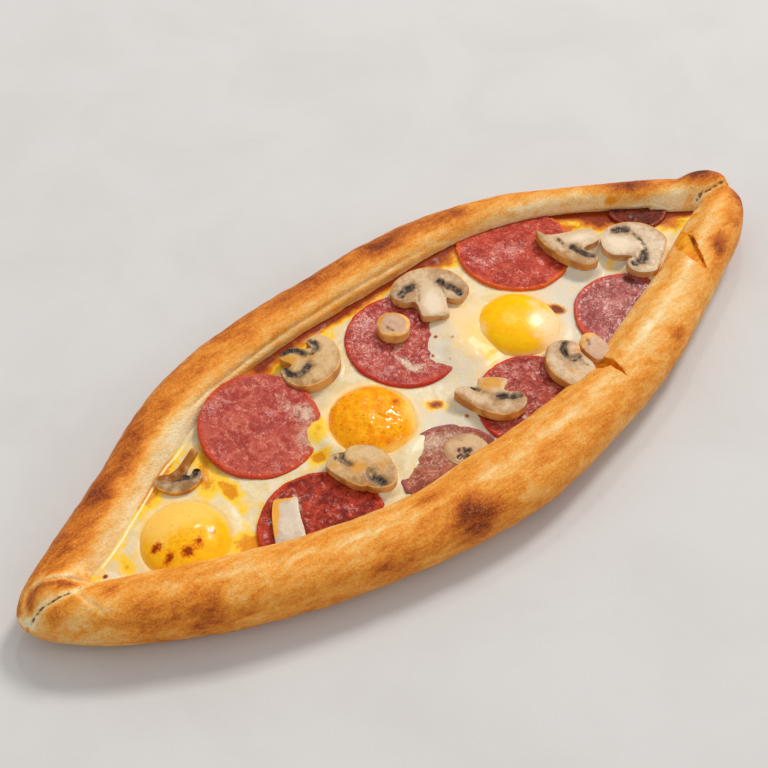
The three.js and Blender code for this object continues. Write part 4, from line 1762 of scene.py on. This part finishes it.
SLICES = (
    SausageSlice(
        1, -62.0, 16.0, 23.0,
        SausageFinish(
            "sausage_pink", tone(204, 96, 78), tone(170, 60, 50), tone(222, 150, 130), tone(206, 70, 32),
            fat_share=0.75,
        ),
        patches((9.0, 10.0, 4.0, 0.45, 1.6, -45), (16.0, 6.0, 4.5, 0.6), (18.0, -5.0, 4.5, 0.7, 2.0, 80)),
        patches(
            (-17.5, 6.0, 3.2, 0.55, 2.2, 55), (-1.0, 18.0, 4.5, 0.3, 1.5), (3.0, 2.0, 9.0, 0.2),
            (12.0, 4.0, 4.0, 0.25), (7.0, -18.0, 4.0, 0.3), (-8.0, -6.0, 5.0, 0.15),
        ),
        band=4.0,
    ),
    SausageSlice(
        2, 6.5, 15.8, 23.5,
        SausageFinish(
            "sausage_mottled", tone(198, 90, 76), tone(164, 52, 44), tone(228, 174, 158), tone(200, 50, 26),
            fat_share=0.75,
        ),
        patches(
            (4.0, -14.5, 2.6, 1.1, 1.4, 20), (-1.0, -11.0, 2.0, 0.7, 2.4, -45), (-3.0, -4.0, 4.0, 0.4),
            (9.0, -9.5, 1.6, 0.5),
        ),
        patches(
            (-17.0, 0.0, 5.0, 0.42, 2.0, 80), (-14.0, 9.0, 4.0, 0.4), (-12.0, -9.0, 4.0, 0.4),
            (-3.0, -5.0, 5.0, 0.3), (-4.6, -14.0, 2.5, 0.4), (6.0, 2.0, 4.0, 0.3),
        ),
    ),
    SausageSlice(
        3, 73.0, 27.0, 24.2,
        SausageFinish(
            "sausage_red", tone(203, 78, 56), tone(168, 44, 30), tone(228, 150, 130), tone(232, 98, 10),
            fat_share=0.6,
        ),
        (),
        patches(
            (-1.0, -1.0, 5.5, 0.55, 1.7, 10), (-19.0, -2.0, 3.5, 0.45), (-10.5, -8.0, 4.0, 0.42, 1.5, 30),
            (-4.0, -16.0, 6.0, 0.12),
        ),
        band=2.6,
    ),
    SausageSlice(
        4, 84.0, -28.0, 21.6,
        SausageFinish(
            "sausage_mauve", tone(190, 108, 102), tone(150, 64, 62), tone(230, 182, 176), tone(208, 78, 52),
            fat_share=0.85,
        ),
        (),
        patches((-9.4, 8.5, 6.5, 0.45), (-8.0, -3.0, 7.0, 0.38), (-2.0, 3.0, 6.0, 0.3)),
        patches((1.0, 18.0, 2.2, 1.0, 1.3, -20), (5.5, 15.5, 3.6, 0.6)),
        4.5,
    ),
    SausageSlice(
        5, 25.5, -37.5, 22.3,
        SausageFinish(
            "sausage_rose", tone(190, 84, 66), tone(146, 44, 36), tone(224, 166, 150), tone(206, 58, 36),
        ),
        (),
        patches(
            (-6.3, 13.4, 3.2, 0.5), (-11.0, 16.0, 2.4, 0.5), (1.0, 16.0, 2.4, 0.4), (0.5, -2.0, 3.0, 0.3),
            (8.6, 6.0, 3.0, 0.35), (-12.0, -11.0, 3.0, 0.3),
        ),
        band=3.4,
    ),
    SausageSlice(
        6, -69.5, -33.5, 23.5,
        SausageFinish(
            "sausage_deep", tone(184, 58, 34), tone(124, 28, 16), tone(200, 96, 62), tone(208, 62, 18),
            fat_share=0.4,
        ),
        patches((-9.5, 10.0, 1.2, 0.7, 5.0, -68)),
        patches((4.0, 8.0, 5.0, 0.12)),
    ),
    SausageSlice(
        7, -18.0, -43.0, 20.6,
        SausageFinish(
            "sausage_veiled", tone(178, 100, 70), tone(146, 70, 50), tone(206, 154, 124), tone(164, 84, 92),
            tone(208, 172, 146), fat_share=0.7,
        ),
        patches(
            (7.0, 5.0, 9.0, 0.6, 1.4, 20), (-12.0, 8.0, 5.0, 0.5, 2.0, 45), (-4.0, 14.0, 4.0, 0.5, 2.4, 20),
        ),
        patches((2.0, -2.0, 8.0, 0.15)),
        band=3.5,
    ),
    # The slice at the right end lies under the far rim; its darker red is partly painted shade
    SausageSlice(
        8, 129.0, 13.0, 13.0,
        SausageFinish(
            "sausage_painted_shade", tone(124, 38, 14), tone(86, 20, 8), tone(150, 62, 30), tone(134, 44, 12),
            fat_share=0.2,
        ),
        voxel=0.6,
    ),
)

GREYED = MushroomFinish(
    "greyed_mushroom", tone(206, 176, 136), tone(142, 100, 52), tone(218, 150, 50), tone(176, 106, 22),
    film=tone(152, 86, 8),
)
GOLDEN = MushroomFinish("golden_mushroom", tone(212, 176, 124), tone(168, 120, 64))
VEILED = MushroomFinish(
    "veiled_mushroom", tone(208, 174, 130), tone(184, 138, 98), tone(190, 146, 108), tone(178, 122, 88),
    gill_edge=tone(86, 70, 60),
)
BLANCHED = MushroomFinish(
    "blanched_mushroom", tone(216, 198, 176), tone(188, 166, 144), film=tone(236, 164, 34),
)
RINGED = MushroomFinish(
    "ringed_mushroom", tone(204, 164, 132), tone(176, 132, 100), tone(238, 182, 98), tone(206, 140, 62),
)
PALE = MushroomFinish("pale_mushroom", tone(222, 199, 169), tone(184, 148, 108))
MUSHROOMS = (
    MushroomPiece(
        1, -99.2, 17.0, 16.8, 4.2, -90.0,
        (
            (-8.5, 0.0), (-7.0, -2.7), (-3.8, -4.4), (0.0, -5.0), (4.1, -3.8), (7.0, -1.2), (8.6, 2.0),
            (8.1, 4.8),
            (6.5, 6.0), (5.0, 5.3), (4.3, 3.4), (2.8, 3.4), (3.2, 7.0), (5.2, 11.5), (5.8, 14.0), (3.6, 15.0),
            (1.6, 10.8), (-0.5, 6.5), (-3.2, 3.6), (-6.6, 2.8),
        ),
        (
            Stroke(((-2.4, 1.4), (0.8, 1.8), (3.6, 2.0), (5.4, 3.4), (6.2, 5.0)), 1.5),
            Stroke(((-0.6, 2.8), (0.6, 4.6)), 1.2, 0.8),
        ),
        patches(
            (-4.5, 2.4, 3.2, 1.1, 1.4, 0), (-1.0, 6.5, 2.6, 1.1, 1.4, 60), (2.5, 11.0, 2.8, 1.1, 1.6, 70),
        ),
        patches((3.6, 11.5, 3.0, 0.7, 1.8, 70), (1.5, 6.0, 2.0, 0.5)),
        finish=GREYED,
    ),
    MushroomPiece(
        2, -33.5, 28.6, 20.0, 6.0, -35.0,
        (
            (4.0, 16.8), (7.6, 15.4), (10.9, 11.7), (12.7, 6.5), (12.0, 0.9), (9.4, -3.4), (5.4, -7.0),
            (0.7, -8.8),
            (-3.6, -8.4), (-7.6, -5.8), (-9.6, -2.0), (-8.6, 0.3), (-6.6, 0.2), (-6.0, 2.0), (-10.2, 4.4),
            (-10.0, 7.0), (-8.0, 9.2), (-5.0, 10.2), (-1.0, 9.4), (1.4, 10.6), (-0.4, 12.6), (-0.6, 14.2),
            (1.4, 16.0),
        ),
        (
            Stroke(((-7.6, -1.2), (-6.2, -3.2), (-3.6, -3.7), (-1.1, -1.9), (0.7, 1.2)), 1.35),
            Stroke(((-9.6, 7.0), (-7.2, 8.7), (-4.0, 8.5), (-1.1, 6.8)), 1.2),
            Stroke(((0.6, 13.2), (2.9, 12.2), (3.6, 10.3), (2.4, 8.4)), 1.0, 0.75),
            Stroke(((0.8, 6.6), (2.0, 7.2)), 0.7, 0.7),
        ),
        patches((-7.0, 4.0, 2.4, 1.1, 1.5, 10), (-1.0, 4.0, 2.0, 0.45), (2.0, 6.0, 1.6, 0.5)),
        finish=GOLDEN,
    ),
    MushroomPiece(
        3, 27.8, 29.7, 20.3, 4.2, 90.0,
        (
            (-15.6, 1.8), (-13.2, 6.5), (-7.8, 11.2), (-0.9, 13.2), (5.9, 12.4), (11.4, 8.8), (15.0, 3.5),
            (15.1, 0.9),
            (13.2, -2.4), (11.0, -4.1), (8.2, -3.6), (6.2, -3.2), (6.6, -7.6), (7.1, -11.8), (2.3, -12.7),
            (-2.8, -12.9), (-4.5, -8.8), (-6.2, -5.4), (-10.0, -5.9), (-13.2, -4.7), (-15.4, -1.8),
        ),
        (
            Stroke(((-11.9, -2.4), (-10.0, 0.3), (-7.1, 2.1)), 1.5),
            Stroke(((3.9, 5.0), (6.8, 2.9), (9.6, 1.2), (11.4, -0.9)), 1.4),
            Stroke(((-5.4, 2.2), (-4.6, -1.8), (-4.8, -5.0)), 0.5, 0.35),
            Stroke(((4.2, 3.8), (5.2, 0.0), (5.8, -3.0)), 0.5, 0.35),
        ),
        pale=patches((0.8, -6.0, 4.0, 1.1, 2.0, 90)),
    ),
    MushroomPiece(
        4, 87.2, 13.7, 20.7, 4.4, -130.0,
        (
            (-12.6, 8.8), (-11.0, 8.6), (-9.0, 7.0), (-5.5, 7.0), (0.8, 8.6), (8.7, 10.7), (11.2, 8.8),
            (12.9, 5.3),
            (11.2, 2.9), (7.3, 0.6), (6.0, -1.4), (9.5, -2.8), (11.4, -5.9), (10.6, -8.8), (6.2, -10.3),
            (2.1, -9.1),
            (-3.3, -5.5), (-8.3, -0.6), (-11.8, 4.8),
        ),
        (
            Stroke(((1.7, -1.1), (4.1, -2.7), (7.1, -4.6), (9.1, -4.8)), 1.5),
            Stroke(((-3.9, 3.5), (-2.5, 1.6)), 0.7, 0.6),
        ),
        pale=patches((5.0, 5.0, 3.2, 0.9, 2.2, 20)),
    ),
    MushroomPiece(
        5, 108.6, -2.3, 20.3, 4.2, 30.0,
        (
            (-13.0, 4.8), (-10.8, 9.6), (-5.6, 13.0), (0.0, 13.9), (6.1, 12.7), (10.8, 9.0), (13.4, 4.8),
            (13.1, 1.2),
            (11.3, -4.2), (9.5, -9.5), (7.0, -13.5), (1.4, -14.5), (-2.8, -12.5), (-4.0, -9.2), (-3.0, -7.0),
            (-1.2, -6.4), (-3.0, -5.2), (-6.0, -5.3), (-10.0, -4.5), (-12.7, -0.5),
        ),
        (
            Stroke(((-7.5, 8.4), (-5.2, 9.0), (-2.3, 9.0)), 1.5),
            Stroke(((0.0, 6.6), (2.3, 3.6), (3.8, 0.6), (4.0, -3.0)), 0.8, 0.5),
            Stroke(((3.3, -4.8), (2.3, -8.4), (-0.9, -9.6)), 1.6),
        ),
        pale=patches((-5.5, 1.6, 4.0, 1.0, 1.5, -10)),
        finish=PALE,
    ),
    MushroomPiece(
        6, 10.6, -27.6, 21.0, 4.8, -110.0,
        (
            (-14.4, 4.5), (-12.5, 6.9), (-8.7, 7.0), (-6.0, 6.6), (-5.5, 10.0), (-4.4, 11.2), (0.0, 11.5),
            (5.0, 11.0),
            (5.5, 9.0), (4.2, 6.4), (5.4, 4.8), (10.0, 4.6), (12.0, 2.5), (12.3, 0.0), (10.3, -3.4),
            (6.5, -5.6),
            (2.7, -6.2), (-3.0, -4.5), (-8.0, -1.6), (-12.6, 2.0),
        ),
        (
            Stroke(((2.3, 1.7), (4.6, 2.6), (7.2, 2.2), (9.9, 3.0)), 1.3),
            Stroke(((-7.6, 6.6), (-5.3, 5.0)), 0.7, 0.9),
            Stroke(((-5.3, 5.0), (-1.9, 3.4)), 0.6, 0.35),
        ),
        patches((0.0, 8.6, 3.4, 1.2, 1.6, 0), (-3.0, 6.0, 2.0, 0.5)),
        patches((0.0, 10.5, 2.6, 0.5, 1.8, 0)),
    ),
    MushroomPiece(
        7, 45.4, -30.4, 20.6, 4.5, -140.0,
        (
            (-0.9, 10.7), (-4.4, 9.8), (-7.4, 6.7), (-8.4, 1.7), (-7.0, -4.0), (-3.5, -8.5), (1.3, -11.2),
            (6.0, -11.0),
            (10.0, -6.0), (9.6, -1.0), (7.0, 2.5), (5.4, 5.0), (4.8, 8.0), (2.4, 10.2),
        ),
        (
            Stroke(((-0.2, 9.0), (-1.5, 5.8), (-0.4, 2.4), (2.2, 1.0), (4.2, 2.6)), 1.1),
            Stroke(((4.6, 0.6), (7.0, -1.6)), 0.8, 0.4),
        ),
        patches((0.6, -4.4, 1.6, 0.7), (3.4, -6.0, 2.2, 0.5), (-3.6, -1.6, 1.8, 0.4)),
        patches((3.8, 5.0, 1.6, 0.8), (4.0, 8.4, 1.8, 0.7)),
    ),
    MushroomPiece(
        8, -11.4, -36.9, 16.7, 1.7, 120.0,
        (
            (-7.4, 1.0), (-6.2, 5.8), (-1.6, 9.2), (4.0, 9.0), (8.4, 5.4), (9.4, 0.4), (6.4, -4.0),
            (0.0, -4.8), (-5.0, -3.0),
        ),
        (
            Stroke(((-1.8, -1.4), (0.2, 0.2), (2.0, 1.4)), 0.8),
            Stroke(((-1.6, 1.4), (0.2, 0.0), (1.6, -1.6)), 0.8),
            Stroke(((-0.2, 2.0), (0.3, -2.0)), 0.7, 0.8),
        ),
        finish=VEILED, band=0.5,
    ),
    MushroomPiece(
        9, 5.3, 24.7, 21.0, 4.9, 90.0,
        (
            (6.4, 0.0), (4.8, 4.2), (0.0, 6.2), (-4.8, 4.8), (-6.5, 0.4), (-4.8, -4.4), (0.0, -6.2),
            (4.6, -4.8),
        ),
        (Stroke(((-2.6, -1.6), (-0.4, -3.2)), 0.6, 0.45), Stroke(((-1.6, 0.6), (0.4, 0.2)), 0.7, 0.25)),
        (),
        patches((0.0, -6.4, 2.6, 0.8, 2.0), (6.4, 0.0, 2.4, 0.8, 2.0, 90), (-6.4, 0.0, 2.6, 0.8, 2.0, 90)),
        finish=RINGED, band=2.2,
    ),
    MushroomPiece(
        10, -46.2, -21.7, 20.0, 4.0, -60.0,
        (
            (-13.0, 4.0), (-12.0, 6.2), (-9.7, 7.8), (-6.6, 8.2), (-5.4, 10.0), (-1.9, 11.4), (3.5, 11.2),
            (7.8, 8.5),
            (11.2, 4.0), (12.6, -1.0), (12.0, -4.6), (10.0, -6.6), (6.2, -7.4), (2.6, -6.8), (1.8, -5.4),
            (1.2, -6.6),
            (-1.8, -6.2), (-6.2, -3.8), (-10.9, -0.2), (-12.9, 2.4),
        ),
        (
            Stroke(((-7.4, 7.4), (-7.2, 5.0), (-5.4, 3.0), (-3.9, 2.5)), 0.85, 0.9),
            Stroke(((-9.6, 5.2), (-7.4, 4.0)), 0.7, 0.6),
            Stroke(((3.1, -0.5), (3.9, -2.8), (6.2, -4.0), (7.4, -5.0)), 1.6),
        ),
        patches((-1.2, 1.5, 3.2, 1.0), (-10.0, 2.2, 2.6, 0.7), (7.4, 3.0, 3.4, 0.6), (-2.0, 9.6, 2.0, 0.5)),
        patches((0.0, 6.0, 3.0, 0.2)),
        finish=GOLDEN,
    ),
    MushroomPiece(
        11, -77.5, -22.2, 18.4, 2.6, 180.0,
        (
            (-6.8, 8.0), (-5.8, 8.8), (-2.0, 9.2), (1.0, 9.8), (1.8, 8.8), (2.4, 5.0), (3.2, 1.0),
            (4.4, -3.0), (5.2, -7.0),
            (4.8, -10.0), (0.0, -10.5), (-4.8, -10.0), (-5.6, -7.5), (-6.5, -2.8), (-7.1, 3.5),
        ),
        (),
        patches(
            (-6.4, 6.0, 1.8, 1.2, 2.0, 90), (-6.2, 1.0, 1.7, 1.2, 2.4, 90),
            (-5.6, -5.0, 1.4, 1.0, 2.0, 100), (-2.0, 8.8, 1.2, 1.0, 3.0, 10),
        ),
        finish=BLANCHED, band=0.4,
    ),
    MushroomPiece(
        12, 58.9, -30.5, 20.0, 4.2, 135.0,
        (
            (-5.2, 2.6), (-3.6, 5.6), (-0.4, 6.6), (2.4, 4.6), (5.0, 1.0), (6.4, -3.0), (4.0, -6.4),
            (0.6, -7.0), (-3.0, -3.6), (-5.0, 0.0),
        ),
        (Stroke(((-2.4, 2.6), (-2.0, 0.6)), 0.7, 0.4),),
        (),
        patches((-4.4, 2.0, 2.6, 0.8, 1.8, 60), (-1.0, 6.0, 1.8, 0.6, 1.6, 0), (2.0, -3.0, 3.0, 0.25)),
        finish=RINGED,
    ),
)


def main() -> None:
    """Build and dress the pide, then set it in the studio."""
    logging.basicConfig(level=logging.INFO, format="%(name)s %(message)s")
    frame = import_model()
    crust = Crust()
    dough = crust.build(frame)
    yolks = [yolk.build() for yolk in YOLKS]
    slices = [sausage.build(frame) for sausage in SLICES]
    filling = Filling()
    melt = filling.build(dough, slices + yolks, YOLKS, MUSHROOMS)
    crust.dress(dough)
    filling.dress(melt)
    for yolk, piece in zip(YOLKS, yolks):
        yolk.dress(piece)
    for sausage, piece in zip(SLICES, slices):
        sausage.dress(piece)
    finishes = dict.fromkeys(mushroom.finish for mushroom in MUSHROOMS)
    materials = {finish: finish.material() for finish in finishes}
    for mushroom in MUSHROOMS:
        mushroom.dress(mushroom.build(), materials[mushroom.finish])
    studio = Studio()
    studio.ground()
    studio.light()
    studio.camera()


if __name__ == "__main__":
    main()
